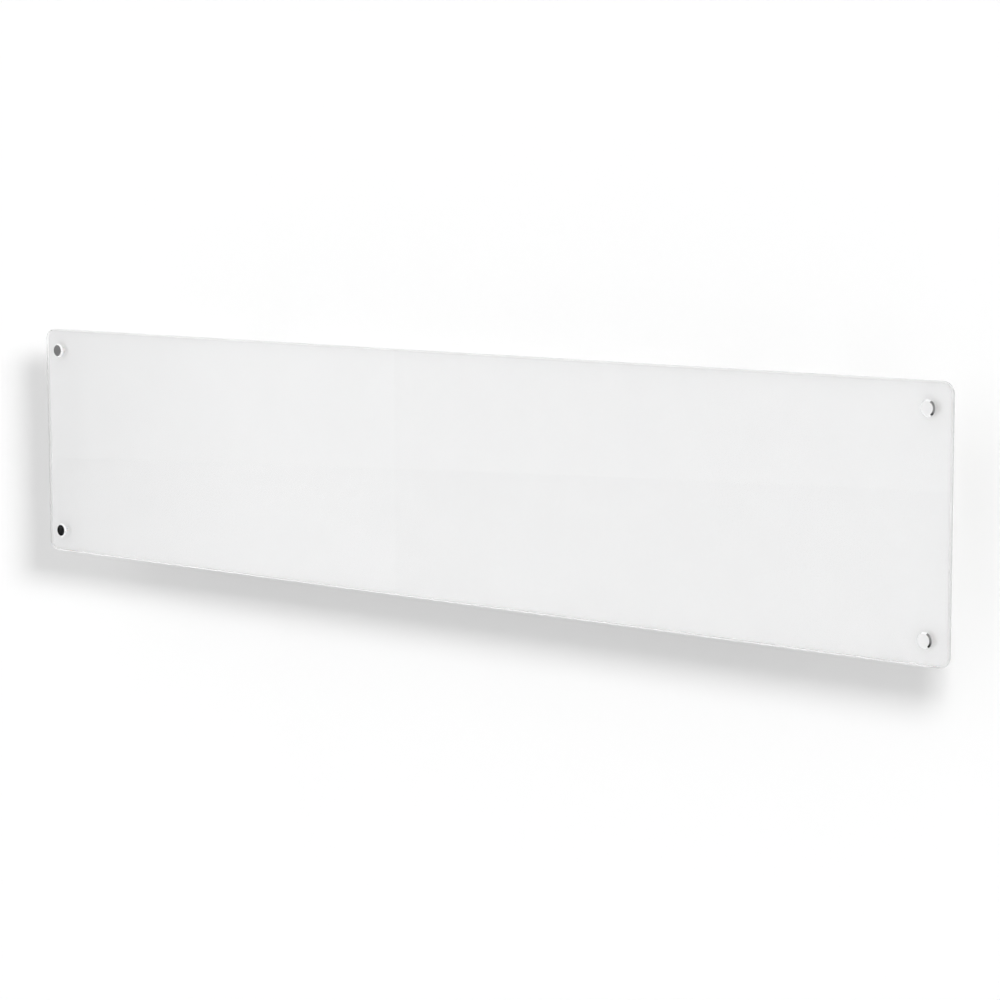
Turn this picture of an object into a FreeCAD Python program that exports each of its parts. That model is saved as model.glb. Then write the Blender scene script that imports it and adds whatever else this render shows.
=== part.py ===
"""Low wall-hung glass panel heater: a white-backed glass front on a steel convector box.

X runs to the right, Y into the wall and Z up, in millimetres. The origin lies on the wall, at the
centre of the four wall screws. A depth is a distance from the wall into the room, along -Y.
"""

import FreeCAD, Part
import math
import os
import re

import Sketcher

# Driving dimensions in millimetres, with angles in degrees and counts as plain numbers.
SIZES = {
    # Front glass and the white coat baked on its back
    "glass_width": 1200,
    "glass_height": 250,
    "glass_thick": 5,
    "glass_corner": 11,
    "glass_arris": 1.4,
    "coat_thick": 0.2,
    "coat_edge": 0.2,
    "coat_gap": 0.05,
    # Corner fixings: chrome cap, washer, sleeve in the glass, barrel behind it and screw
    "cap_inset": 23.7,
    "cap_dia": 15.5,
    "cap_height": 2.9,
    "cap_bevel": 1.5,
    "cap_bore_depth": 2,
    "screw_dia": 4.8,
    "screw_gap": 0.15,
    "screw_tip_gap": 0.3,
    "screw_head_dia": 9,
    "screw_head_height": 3,
    "washer_dia": 14,
    "washer_thick": 0.8,
    "sleeve_dia": 9,
    "sleeve_gap": 0.2,
    "sleeve_flange_dia": 14,
    "sleeve_flange": 1,
    "barrel_dia": 12,
    "barrel_length": 7,
    # Steel front plate and rear casing
    "sheet_thick": 0.8,
    "bend_radius": 1.2,
    "plate_inset": 15,
    "plate_corner": 8,
    "plate_flange": 7,
    "wall_gap": 14,
    "casing_end_inset": 53,
    "casing_top_inset": 25,
    "casing_depth": 48,
    "casing_flange": 7.6,
    "tapping_dia": 3,
    "tapping_gap": 0.1,
    "tapping_head_dia": 5.2,
    "tapping_head_height": 2,
    "tapping_tip": 2.6,
    "flange_screw_end": 40,
    "flange_screw_count": 6,
    # Moulded end caps
    "end_cap_thick": 3,
    "end_cap_round": 1,
    "skirt_depth": 14,
    "skirt_thick": 2,
    "skirt_gap": 0.2,
    "end_screw_inset": 40,
    # Outlet grille in the top and intake slots in the bottom
    "grille_margin": 25,
    "grille_depth": 32,
    "grille_lip": 3,
    "grille_lip_thick": 1.2,
    "grille_wall": 1.2,
    "grille_drop": 9,
    "grille_gap": 0.2,
    "vane_thick": 1.2,
    "vane_tilt": 20,
    "vane_count": 5,
    "rib_thick": 1.5,
    "rib_pitch": 46,
    "rib_lowering": 1.5,
    "intake_width": 3.6,
    "intake_pitch": 10.5,
    # Heating element: finned cross on a tubular rod, held by ceramic bushes in two hangers
    "element_end": 75,
    "element_clear": 55,
    "element_depth": 28,
    "element_floor": 56,
    "tube_dia": 14,
    "fin_spread": 13,
    "fin_reach": 34,
    "fin_thick": 1.4,
    "slit_width": 2,
    "slit_start": 11,
    "slit_length": 17,
    "slit_pitch": 20,
    "rod_dia": 8,
    "rod_gap": 0.1,
    "rod_overhang": 24,
    "pin_dia": 3.5,
    "pin_length": 10,
    "hanger_offset": 12,
    "hanger_thick": 1.2,
    "hanger_width": 34,
    "hanger_foot": 14,
    "bush_dia": 16,
    "bush_flange_dia": 21,
    "bush_flange": 3,
    "bush_tail": 4,
    # Rear heat shield and the thermal cut-out on it
    "shield_thick": 0.5,
    "shield_stand": 9,
    "shield_inset": 10,
    "shield_foot": 6,
    "shield_gap": 6,
    "cutout_left": 85,
    "cutout_clear": 23,
    "cutout_dia": 16,
    "cutout_height": 9,
    "cutout_ear": 26,
    "cutout_ear_width": 9,
    "cutout_ear_thick": 1,
    "blade_width": 6.3,
    "blade_thick": 0.8,
    "blade_length": 8,
    # Control bulkhead, its grommets and the wiring
    "bulkhead_clear": 12,
    "bulkhead_gap": 0.3,
    "bulkhead_foot": 12,
    "grommet_hole": 12,
    "grommet_bore": 8,
    "grommet_flange_dia": 16,
    "grommet_flange": 1.5,
    "grommet_gap": 0.1,
    "lower_grommet_floor": 12,
    "wire_dia": 2.6,
    "wire_bend": 5,
    "wire_turn": 12,
    # Power board and the pieces on it
    "board_side_gap": 2,
    "board_height": 96,
    "board_thick": 1.6,
    "board_gap": 4,
    "board_stand": 6,
    "post_dia": 6,
    "post_inset": 6,
    "post_pin_dia": 2.8,
    "post_pin_gap": 0.2,
    "post_pin_rise": 2,
    "relay_length": 19,
    "relay_width": 15.5,
    "relay_height": 16,
    "transformer_length": 26,
    "transformer_width": 30,
    "transformer_height": 22,
    "transformer_core_share": 0.5,
    "capacitor_dia": 12,
    "capacitor_height": 18,
    "block_length": 40,
    "block_height": 20,
    "block_depth": 18,
    "block_floor": 18,
    "block_hole": 4,
    "block_hole_depth": 12,
    "block_pitch": 12,
    "block_exit_share": 0.75,
    "earth_offset": 32,
    "earth_washer_dia": 9,
    "earth_washer_thick": 0.8,
    "earth_flats": 7,
    "earth_head": 3,
    # Control fascia with its window, display and buttons
    "fascia_clear": 8,
    "fascia_length": 88,
    "fascia_depth": 34,
    "fascia_lip": 2,
    "fascia_thick": 1.6,
    "fascia_round": 0.6,
    "fascia_drop": 15,
    "fascia_wall": 1.5,
    "fascia_gap": 0.2,
    "window_end": 6,
    "window_key_gap": 5,
    "window_width": 18,
    "window_thick": 1,
    "window_ledge": 1.5,
    "window_gap": 0.15,
    "display_drop": 12,
    "display_board_thick": 1.6,
    "display_board_gap": 0.5,
    "display_side_gap": 3,
    "display_width": 14,
    "display_height": 9,
    "boss_dia": 4,
    "boss_inset": 4,
    "boss_pin_dia": 2,
    "boss_pin_gap": 0.1,
    "boss_pin_rise": 0.8,
    "button_length": 8,
    "button_width": 14,
    "button_pitch": 11,
    "button_end": 7,
    "button_gap": 0.3,
    "button_collar": 0.7,
    "button_collar_thick": 1,
    "button_seat_gap": 0.1,
    "button_proud": 0.8,
    "button_round": 0.5,
    "button_travel": 0.8,
    "button_stem_dia": 3,
    "tact_size": 6,
    "tact_height": 3.5,
    "tact_plunger_dia": 3.2,
    "tact_plunger": 0.8,
    "tact_gap": 0.2,
    # Power rocker in the right end cap
    "switch_rise": 20,
    "switch_height": 20,
    "switch_width": 14,
    "switch_bezel": 2,
    "switch_bezel_thick": 1.8,
    "switch_round": 0.8,
    "switch_gap": 0.2,
    "switch_body": 16,
    "rocker_radius": 8.6,
    "rocker_width": 10.8,
    "rocker_gap": 0.3,
    "rocker_dish": 3.2,
    "rocker_rise": 5.2,
    "rocker_base": 1.5,
    "rocker_tilt": 10,
    "pivot_sink": 1,
    "pivot_dia": 2.4,
    "pivot_length": 1.1,
    "pivot_gap": 0.05,
    "cavity_depth": 8,
    # Mains gland and room sensor in the bottom
    "gland_x_offset": 18,
    "gland_bore": 7.4,
    "gland_dia": 15,
    "gland_drop": 13,
    "gland_taper": 3,
    "gland_flats": 17,
    "gland_collar": 5,
    "gland_thread_dia": 11.8,
    "gland_thread_gap": 0.2,
    "gland_rise": 7,
    "gland_nut_height": 4,
    "sensor_x_offset": 30,
    "cup_dia": 11,
    "cup_wall": 1,
    "cup_drop": 7,
    "cup_flange_dia": 15,
    "cup_flange": 1.2,
    "cup_gap": 0.15,
    "cup_slot": 2,
    "bead_dia": 4,
    "bead_drop": 5,
    "plug_height": 2,
    # Wall bracket: two uprights with hooks, a tie rail and its rivets
    "upright_inset": 227,
    "upright_width": 44,
    "upright_margin": 10,
    "upright_thick": 1.5,
    "upright_round": 6,
    "wall_screw_end": 15,
    "wall_hole_dia": 6,
    "hook_margin": 40,
    "hook_gap": 0.3,
    "hook_arm": 6,
    "hook_rise": 10,
    "hook_thick": 3,
    "hook_side_gap": 0.8,
    "hook_play": 0.3,
    "lift_travel": 12,
    "lift_spare": 1,
    "rail_height": 26,
    "rail_tab": 12,
    "rivet_dia": 3.2,
    "rivet_gap": 0.1,
    "rivet_head_dia": 6,
    "rivet_head": 1.2,
    "rivet_spacing": 14,
    # How far every cut runs past the faces that it opens
    "overrun": 1,
    # How near two coordinates count as one, and how true a straight edge or a wire has to run
    "same_place": 0.000001,
    "straight_share": 0.999,
    "route_share": 0.01,
}

# Places and fits that follow from the sizes.
PLACES = {
    "cap_x": "glass_width/2 - cap_inset",
    "cap_z": "glass_height/2 - cap_inset",
    "screw_hole": "screw_dia + 2*screw_gap",
    "glass_hole": "sleeve_dia + 2*sleeve_gap",
    "tapping_hole": "tapping_dia + 2*tapping_gap",
    "casing_inside": "wall_gap + sheet_thick",
    "casing_front": "wall_gap + casing_depth",
    "casing_length": "glass_width - 2*casing_end_inset",
    "casing_height": "glass_height - 2*casing_top_inset",
    "casing_top": "casing_height/2",
    "casing_end": "casing_length/2",
    "duct_depth": "wall_gap + casing_depth/2",
    "plate_front": "casing_front + sheet_thick",
    "plate_x": "glass_width/2 - plate_inset",
    "plate_z": "glass_height/2 - plate_inset",
    "barrel_front": "plate_front + barrel_length",
    "coat_back": "barrel_front + sleeve_flange",
    "coat_margin": "glass_arris + coat_edge",
    "glass_back": "coat_back + coat_thick + coat_gap",
    "glass_front": "glass_back + glass_thick",
    "cap_back": "glass_front + washer_thick",
    "flange_screw_z": "casing_top + casing_flange/2",
    "flange_screw_pitch": "(casing_length - 2*flange_screw_end)/(flange_screw_count - 1)",
    "skirt_top": "casing_top - sheet_thick - skirt_gap",
    "end_screw_x": "casing_end - skirt_depth/2",
    "end_screw_z": "casing_top - end_screw_inset",
    "fascia_x": "casing_end - skirt_depth - fascia_clear - fascia_length/2",
    "bulkhead_x": "fascia_x - fascia_length/2 - bulkhead_clear",
    "grille_left": "-(casing_end - grille_margin)",
    "grille_right": "bulkhead_x - grille_margin",
    "grille_length": "grille_right - grille_left",
    "grille_x": "(grille_left + grille_right)/2",
    "grille_inner_length": "grille_length - 2*grille_gap - 2*grille_wall",
    "grille_inner_depth": "grille_depth - 2*grille_gap - 2*grille_wall",
    "vane_pitch": "grille_inner_depth/(vane_count + 1)",
    "vane_lean": "grille_drop*tan(vane_tilt)",
    "element_left": "-(casing_end - element_end)",
    "element_right": "bulkhead_x - element_clear",
    "element_length": "element_right - element_left",
    "element_x": "(element_left + element_right)/2",
    "element_axis": "casing_inside + element_depth",
    "element_z": "element_floor - casing_top",
    "fin_top": "element_z + fin_reach",
    "fin_length": "sqrt(fin_spread^2 + fin_reach^2)",
    "fin_side_y": "fin_thick/2*fin_reach/fin_length",
    "fin_side_z": "fin_thick/2*fin_spread/fin_length",
    "pin_end": "element_length/2 + rod_overhang + pin_length",
    "shield_back": "casing_inside + shield_stand",
    "shield_front": "shield_back + shield_thick",
    "shield_top": "casing_top - shield_inset",
    "shield_left": "element_left - hanger_offset + shield_gap",
    "shield_length": "element_length + 2*hanger_offset - 2*shield_gap",
    "cutout_x": "bulkhead_x - cutout_left",
    "cutout_z": "fin_top + cutout_clear + cutout_ear/2",
    "return_z": "lower_grommet_floor - casing_top",
    "wire_depth": "shield_front + cutout_height - blade_width/2",
    "grommet_neck": "grommet_hole - 2*grommet_gap",
    "block_z": "block_floor - casing_top",
    "board_length": "fascia_length - 2*board_side_gap",
    "board_z": "block_z + block_height/2 + board_gap + board_height/2",
    "board_back": "casing_inside + board_stand",
    "board_front": "board_back + board_thick",
    "post_x": "board_length/2 - post_inset",
    "post_z": "board_height/2 - post_inset",
    "block_left": "fascia_x - block_length/2",
    "earth_x": "fascia_x + earth_offset",
    "earth_top": "casing_inside + earth_washer_thick + earth_head",
    "button_row": "2*button_pitch + button_length",
    "window_length": "fascia_length - window_end - window_key_gap - button_row - button_end",
    "window_x": "window_end + (window_length - fascia_length)/2",
    "display_length": "window_length - 2*display_side_gap",
    "last_button": "fascia_length/2 - button_end - button_length/2",
    "boss_x": "fascia_length/2 - fascia_gap - fascia_wall - boss_inset",
    "boss_y": "fascia_depth/2 - fascia_gap - fascia_wall - boss_inset",
    "tact_top": "-display_drop + tact_height + tact_plunger",
    "switch_x": "casing_end + end_cap_thick",
    "gland_x": "fascia_x + gland_x_offset",
    "sensor_x": "fascia_x - sensor_x_offset",
    "cup_bore": "cup_dia - 2*cup_wall",
    "upright_x": "casing_end - upright_inset",
    "upright_height": "casing_height - 2*upright_margin",
    "wall_screw_z": "upright_height/2 - wall_screw_end",
    "upright_depth": "wall_gap - hook_gap",
    "hook_front": "casing_inside + hook_gap + hook_thick",
    "hook_seat": "casing_top - hook_margin",
    "rail_x": "upright_x - upright_width/2",
    "rivet_depth": "(rail_tab + upright_thick + bend_radius)/2",
}

SIDES = {"left": "-", "right": ""}
LEVELS = {"top": "", "bottom": "-"}

doc = FreeCAD.newDocument("GlassPanelHeater")
sheet = doc.addObject("Spreadsheet::Sheet", "Sizes")
parts = []


def fill_sheet():
    """Writes every driving dimension into its own named cell."""
    for row, (name, value) in enumerate(SIZES.items(), start=1):
        sheet.set(f"A{row}", name)
        sheet.set(f"B{row}", str(value))
        sheet.setAlias(f"B{row}", name)
    doc.recompute()


def bound(expression):
    """An expression in the names of sizes and places, as the document reads it."""

    def read(match):
        word = match.group(0)
        if word in PLACES:
            return f"({bound(PLACES[word])})"
        return f"Sizes.{word}" if word in SIZES else word

    return re.sub(r"[A-Za-z_]\w*", read, str(expression))


def number(expression):
    """The value that an expression has now."""
    return float(sheet.evalExpression(bound(expression)))


# Sketches, features and bodies


def start_body(label):
    """A new sub-part made of sketched features."""
    body = doc.addObject("PartDesign::Body", label)
    body.Label = label
    parts.append(body)
    return body


def origin_part(body, role):
    """One of the body's own origin planes or axes."""
    return next(item for item in body.Origin.OriginFeatures if item.Role == role)


def start_sketch(body, plane, offset="0"):
    """An empty sketch on an origin plane, moved along the plane's normal."""
    sketch = body.newObject("Sketcher::SketchObject", "Sketch")
    sketch.AttachmentSupport = (origin_part(body, plane), "")
    sketch.MapMode = "FlatFace"
    sketch.setExpression("AttachmentOffset.Base.z", bound(offset))
    return sketch


def fix_point(sketch, curve, end, across, up):
    """Ties one point of a curve to its place, by two bound dimensions from the sketch's origin."""
    for kind, expression in (("DistanceX", across), ("DistanceY", up)):
        constraint = Sketcher.Constraint(kind, -1, 1, curve, end, number(expression))
        index = sketch.addConstraint(constraint)
        sketch.setExpression(f"Constraints[{index}]", bound(expression))


def add_outline(sketch, corners):
    """A closed outline of straight lines through the corners."""
    first = sketch.GeometryCount
    points = [FreeCAD.Vector(number(across), number(up), 0) for across, up in corners]
    count = len(points)
    for index, point in enumerate(points):
        sketch.addGeometry(Part.LineSegment(point, points[(index + 1) % count]), False)
    for index in range(count):
        follower = first + (index + 1) % count
        sketch.addConstraint(Sketcher.Constraint("Coincident", first + index, 2, follower, 1))
    for index, (across, up) in enumerate(corners):
        fix_point(sketch, first + index, 1, across, up)


def add_rectangle(sketch, left, right, low, high):
    """An upright rectangle between four lines."""
    add_outline(sketch, [(left, low), (right, low), (right, high), (left, high)])


def add_centred(sketch, width, height, across="0", up="0"):
    """A rectangle about its centre."""
    add_rectangle(
        sketch,
        f"{across} - ({width})/2",
        f"{across} + ({width})/2",
        f"{up} - ({height})/2",
        f"{up} + ({height})/2",
    )


def add_circle(sketch, diameter, across="0", up="0"):
    """A circle about its centre."""
    centre = FreeCAD.Vector(number(across), number(up), 0)
    normal = FreeCAD.Vector(0, 0, 1)
    curve = sketch.addGeometry(Part.Circle(centre, normal, number(diameter) / 2), False)
    fix_point(sketch, curve, 3, across, up)
    index = sketch.addConstraint(Sketcher.Constraint("Diameter", curve, number(diameter)))
    sketch.setExpression(f"Constraints[{index}]", bound(diameter))


def add_ring(sketch, outer, inner, across="0", up="0"):
    """Two circles about one centre."""
    add_circle(sketch, outer, across, up)
    add_circle(sketch, inner, across, up)


def add_hexagon(sketch, flats, across="0", up="0"):
    """A hexagon of a size across its flats, with two flats upright."""
    corners = [
        (f"{across} + ({flats})/2/cos(30)*sin({60*step})", f"{up} + ({flats})/2/cos(30)*cos({60*step})")
        for step in range(6)
    ]
    add_outline(sketch, corners)


def pad(body, sketch, length, centred=False, reverse=False):
    """Material along the sketch's normal."""
    feature = body.newObject("PartDesign::Pad", "Pad")
    feature.Profile = sketch
    feature.Midplane = centred
    feature.Reversed = reverse
    feature.setExpression("Length", bound(length))
    return feature


def pocket(body, sketch, length=None, centred=False, reverse=False):
    """A cut against the sketch's normal, or right through when it has no length."""
    before = body.Tip
    doc.recompute()
    volume = before.Shape.Volume
    feature = body.newObject("PartDesign::Pocket", "Pocket")
    feature.Profile = sketch
    feature.Midplane = centred
    feature.Reversed = reverse
    if length is None:
        feature.Type = "ThroughAll"
    else:
        feature.setExpression("Length", bound(length))
    doc.recompute()
    if feature.Shape.isNull() or feature.Shape.Volume >= volume:
        raise ValueError(f"a cut in {body.Label} removes nothing")
    return feature


def revolve(body, sketch, axis):
    """A full turn about one of the body's axes."""
    feature = body.newObject("PartDesign::Revolution", "Revolution")
    feature.Profile = sketch
    feature.ReferenceAxis = (origin_part(body, axis), [""])
    feature.Angle = 360
    return feature


def repeat(body, features, axis, pitch, count):
    """A row of features along one of the body's axes."""
    doc.recompute()
    row = body.newObject("PartDesign::LinearPattern", "Row")
    row.Originals = features
    row.Direction = (origin_part(body, axis), [""])
    row.Mode = "Spacing"
    row.setExpression("Offset", bound(pitch))
    row.setExpression("Occurrences", bound(count))
    body.Tip = row
    return row


def mirror(body, plane):
    """The whole body and its reflection."""
    doc.recompute()
    feature = body.newObject("PartDesign::Mirrored", "Mirrored")
    feature.TransformMode = "Whole shape"
    feature.MirrorPlane = (origin_part(body, plane), [""])
    body.Tip = feature
    return feature


def mirror_corners(body):
    """The whole body at all four corners of the heater."""
    mirror(body, "YZ_Plane")
    mirror(body, "XY_Plane")


def dress_edges(body, kind, size, chosen):
    """A Fillet or Chamfer on the edges that the test chooses."""
    doc.recompute()
    base = body.Tip
    names = [f"Edge{i}" for i, edge in enumerate(base.Shape.Edges, start=1) if chosen(edge)]
    if not names:
        raise ValueError(f"no edge of {body.Label} takes the {kind.lower()}")
    feature = body.newObject(f"PartDesign::{kind}", kind)
    feature.Base = (base, names)
    feature.setExpression("Radius" if kind == "Fillet" else "Size", bound(size))
    return feature


def place(item, across="0", depth="0", up="0"):
    """Moves a finished item to its place in the heater."""
    for axis, expression in (("x", across), ("y", f"-({depth})"), ("z", up)):
        item.setExpression(f"Placement.Base.{axis}", bound(expression))


# Tests that choose edges


def along(edge, axis):
    """Whether an edge is straight and runs along X, Y or Z."""
    box = edge.BoundBox
    lengths = {"X": box.XLength, "Y": box.YLength, "Z": box.ZLength}
    straight = isinstance(edge.Curve, (Part.Line, Part.LineSegment))
    return straight and lengths[axis] > edge.Length * number("straight_share")


def at(value, expression):
    """Whether a coordinate equals an expression."""
    return abs(value - number(expression)) < number("same_place")


def in_plane(edge, axis, expression):
    """Whether an edge lies in the plane at that X, Y or Z."""
    box = edge.BoundBox
    return at(getattr(box, f"{axis}Min"), expression) and at(getattr(box, f"{axis}Max"), expression)


# Glass front and its corner fixings


def corner_circles(sketch, diameter):
    """A circle at each of the four corner fixings."""
    for side in SIDES.values():
        for level in LEVELS.values():
            add_circle(sketch, diameter, f"{side}(cap_x)", f"{level}(cap_z)")


def glass_sheet(label, back, thick, margin):
    """A thin sheet with rounded corners and a hole for each corner fixing."""
    body = start_body(label)
    sketch = start_sketch(body, "XZ_Plane", back)
    add_centred(sketch, f"glass_width - 2*({margin})", f"glass_height - 2*({margin})")
    pad(body, sketch, thick)
    dress_edges(body, "Fillet", f"glass_corner - ({margin})", lambda edge: along(edge, "Y"))
    holes = start_sketch(body, "XZ_Plane", f"{back} + {thick} + overrun")
    corner_circles(holes, "glass_hole")
    pocket(body, holes, f"{thick} + 2*overrun")
    return body


def make_front_glass():
    """Toughened glass with ground edges."""
    body = glass_sheet("front_glass", "glass_back", "glass_thick", "0")
    rim = number("glass_hole")

    def on_rim(edge):
        flat = in_plane(edge, "Y", "-(glass_back)") or in_plane(edge, "Y", "-(glass_front)")
        hole = edge.Closed and edge.BoundBox.XLength < rim + number("overrun")
        return flat and not hole

    dress_edges(body, "Chamfer", "glass_arris", on_rim)


def make_white_backing():
    """The white coat on the back of the glass, which stops short of the ground edge."""
    glass_sheet("white_backing", "coat_back", "coat_thick", "coat_margin")


def make_corner_cap(level, side):
    """A turned chrome cap with a blind threaded bore in its back."""
    body = start_body(f"corner_cap_{level}_{side}")
    sketch = start_sketch(body, "XY_Plane")
    add_outline(
        sketch,
        [
            ("screw_hole/2", "0"),
            ("cap_dia/2", "0"),
            ("cap_dia/2", "-(cap_height - cap_bevel)"),
            ("cap_dia/2 - cap_bevel", "-cap_height"),
            ("0", "-cap_height"),
            ("0", "-cap_bore_depth"),
            ("screw_hole/2", "-cap_bore_depth"),
        ],
    )
    revolve(body, sketch, "Y_Axis")
    place(body, f"{SIDES[side]}(cap_x)", "cap_back", f"{LEVELS[level]}(cap_z)")


def corner_stack(label, rings):
    """Turned pieces on the four fixing axes, from (depth, length, outer, inner) along each."""
    body = start_body(label)
    for depth, length, outer, inner in rings:
        sketch = start_sketch(body, "XZ_Plane", depth)
        add_circle(sketch, outer, "cap_x", "cap_z")
        if inner:
            add_circle(sketch, inner, "cap_x", "cap_z")
        pad(body, sketch, length)
    mirror_corners(body)


def make_corner_fixings():
    """Washers, sleeves, barrels and screws that hold the glass off the front plate."""
    corner_stack("cap_washers", [("glass_front", "washer_thick", "washer_dia", "screw_hole")])
    corner_stack(
        "glass_sleeves",
        [
            ("barrel_front", "sleeve_flange", "sleeve_flange_dia", "screw_hole"),
            ("coat_back", "glass_front - coat_back", "sleeve_dia", "screw_hole"),
        ],
    )
    corner_stack("standoff_barrels", [("plate_front", "barrel_length", "barrel_dia", "screw_hole")])
    corner_stack(
        "cap_screws",
        [
            ("casing_front - screw_head_height", "screw_head_height", "screw_head_dia", None),
            (
                "casing_front",
                "cap_back - casing_front + cap_bore_depth - screw_tip_gap",
                "screw_dia",
                None,
            ),
        ],
    )


# Front plate, rear casing and end caps


def flange_screw_row(body, depth, length, diameter, cut=False):
    """The rows of screws, or of their holes, along the casing's two flanges."""
    sketch = start_sketch(body, "XZ_Plane", depth)
    for level in LEVELS.values():
        add_circle(sketch, diameter, "-(casing_end - flange_screw_end)", f"{level}(flange_screw_z)")
    return pocket(body, sketch, length) if cut else pad(body, sketch, length)


def make_front_plate():
    """A shallow pressed tray behind the glass, open to the rear."""
    body = start_body("front_plate")
    sketch = start_sketch(body, "XZ_Plane", "plate_front - plate_flange")
    add_centred(sketch, "2*(plate_x)", "2*(plate_z)")
    pad(body, sketch, "plate_flange")
    dress_edges(body, "Fillet", "plate_corner", lambda edge: along(edge, "Y"))
    dress_edges(
        body, "Fillet", "bend_radius + sheet_thick", lambda edge: in_plane(edge, "Y", "-(plate_front)")
    )
    doc.recompute()
    base = body.Tip
    rear_face = "plate_flange - (plate_front)"
    rear = [
        f"Face{i}"
        for i, face in enumerate(base.Shape.Faces, start=1)
        if at(face.BoundBox.YMin, rear_face) and at(face.BoundBox.YMax, rear_face)
    ]
    shell = body.newObject("PartDesign::Thickness", "Thickness")
    shell.Base = (base, rear)
    shell.Reversed = True
    shell.setExpression("Value", bound("sheet_thick"))
    doc.recompute()
    holes = start_sketch(body, "XZ_Plane", "plate_front + overrun")
    corner_circles(holes, "screw_hole")
    pocket(body, holes, "sheet_thick + 2*overrun")
    row = flange_screw_row(
        body, "plate_front + overrun", "sheet_thick + 2*overrun", "tapping_hole", cut=True
    )
    repeat(body, [row], "X_Axis", "flange_screw_pitch", "flange_screw_count")


def casing_profile(sketch):
    """The folded casing from the side: back, top and bottom walls with turned-out flanges."""
    flange_back = "-(casing_front - sheet_thick)"
    tip = "casing_top + casing_flange"
    inner_top = "casing_top - sheet_thick"
    upper = [
        ("-(casing_inside)", inner_top),
        ("-(casing_front)", inner_top),
        ("-(casing_front)", tip),
        (flange_back, tip),
        (flange_back, "casing_top"),
        ("-wall_gap", "casing_top"),
    ]
    lower = [(across, f"-({up})") for across, up in reversed(upper)]
    add_outline(sketch, upper + lower)


def bend_casing(body):
    """Rounds the casing's folds, with one radius inside and a sheet's thickness more outside."""

    def fold(edge, places):
        spots = [(y, z) for y, z in places if in_plane(edge, "Y", y)]
        return along(edge, "X") and any(at(abs(edge.BoundBox.ZMin), z) for y, z in spots)

    inner = [
        ("-(casing_inside)", "casing_top - sheet_thick"),
        ("sheet_thick - (casing_front)", "casing_top"),
    ]
    outer = [("-wall_gap", "casing_top"), ("-(casing_front)", "casing_top - sheet_thick")]
    dress_edges(body, "Fillet", "bend_radius", lambda edge: fold(edge, inner))
    dress_edges(body, "Fillet", "bend_radius + sheet_thick", lambda edge: fold(edge, outer))


def hook_slots(sketch):
    """A tall slot in the casing's back for each hook, with its top edge on the hook's seat."""
    width = "upright_thick + 2*hook_side_gap"
    fall = "hook_arm + lift_travel + lift_spare"
    for side in SIDES.values():
        for inner in ("-", "+"):
            across = f"{side}(upright_x) {inner} (upright_width/2 - upright_thick/2)"
            for top in ("hook_seat", "hook_play - (hook_seat)"):
                add_rectangle(
                    sketch,
                    f"{across} - ({width})/2",
                    f"{across} + ({width})/2",
                    f"{top} - ({fall})",
                    top,
                )


def make_rear_casing():
    """The folded steel casing, with its outlet, control opening, intake slots and hook slots."""
    body = start_body("rear_casing")
    profile = start_sketch(body, "YZ_Plane")
    casing_profile(profile)
    pad(body, profile, "casing_length", centred=True)
    bend_casing(body)

    wall_cut = "sheet_thick + 2*overrun"
    top = start_sketch(body, "XY_Plane", "casing_top + overrun")
    add_centred(top, "grille_length", "grille_depth", "grille_x", "-(duct_depth)")
    add_centred(top, "fascia_length", "fascia_depth", "fascia_x", "-(duct_depth)")
    pocket(body, top, wall_cut)

    back = start_sketch(body, "XZ_Plane", "casing_inside + overrun")
    hook_slots(back)
    for side in SIDES.values():
        for level in LEVELS.values():
            add_circle(back, "tapping_hole", f"{side}(end_screw_x)", f"{level}(end_screw_z)")
    pocket(body, back, wall_cut)

    bottom = start_sketch(body, "XY_Plane", "-(casing_top - sheet_thick) + overrun")
    add_circle(bottom, "gland_thread_dia + 2*gland_thread_gap", "gland_x", "-(duct_depth)")
    add_circle(bottom, "cup_dia + 2*cup_gap", "sensor_x", "-(duct_depth)")
    pocket(body, bottom, wall_cut)

    row = flange_screw_row(body, "casing_front + overrun", wall_cut, "tapping_hole", cut=True)
    repeat(body, [row], "X_Axis", "flange_screw_pitch", "flange_screw_count")

    slot = start_sketch(body, "XY_Plane", "-(casing_top - sheet_thick) + overrun")
    add_rectangle(
        slot,
        "grille_left",
        "grille_left + intake_width",
        "-(duct_depth) - grille_depth/2",
        "-(duct_depth) + grille_depth/2",
    )
    intake = pocket(body, slot, wall_cut)
    repeat(body, [intake], "X_Axis", "intake_pitch", "floor((grille_length)/intake_pitch)")


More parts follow.
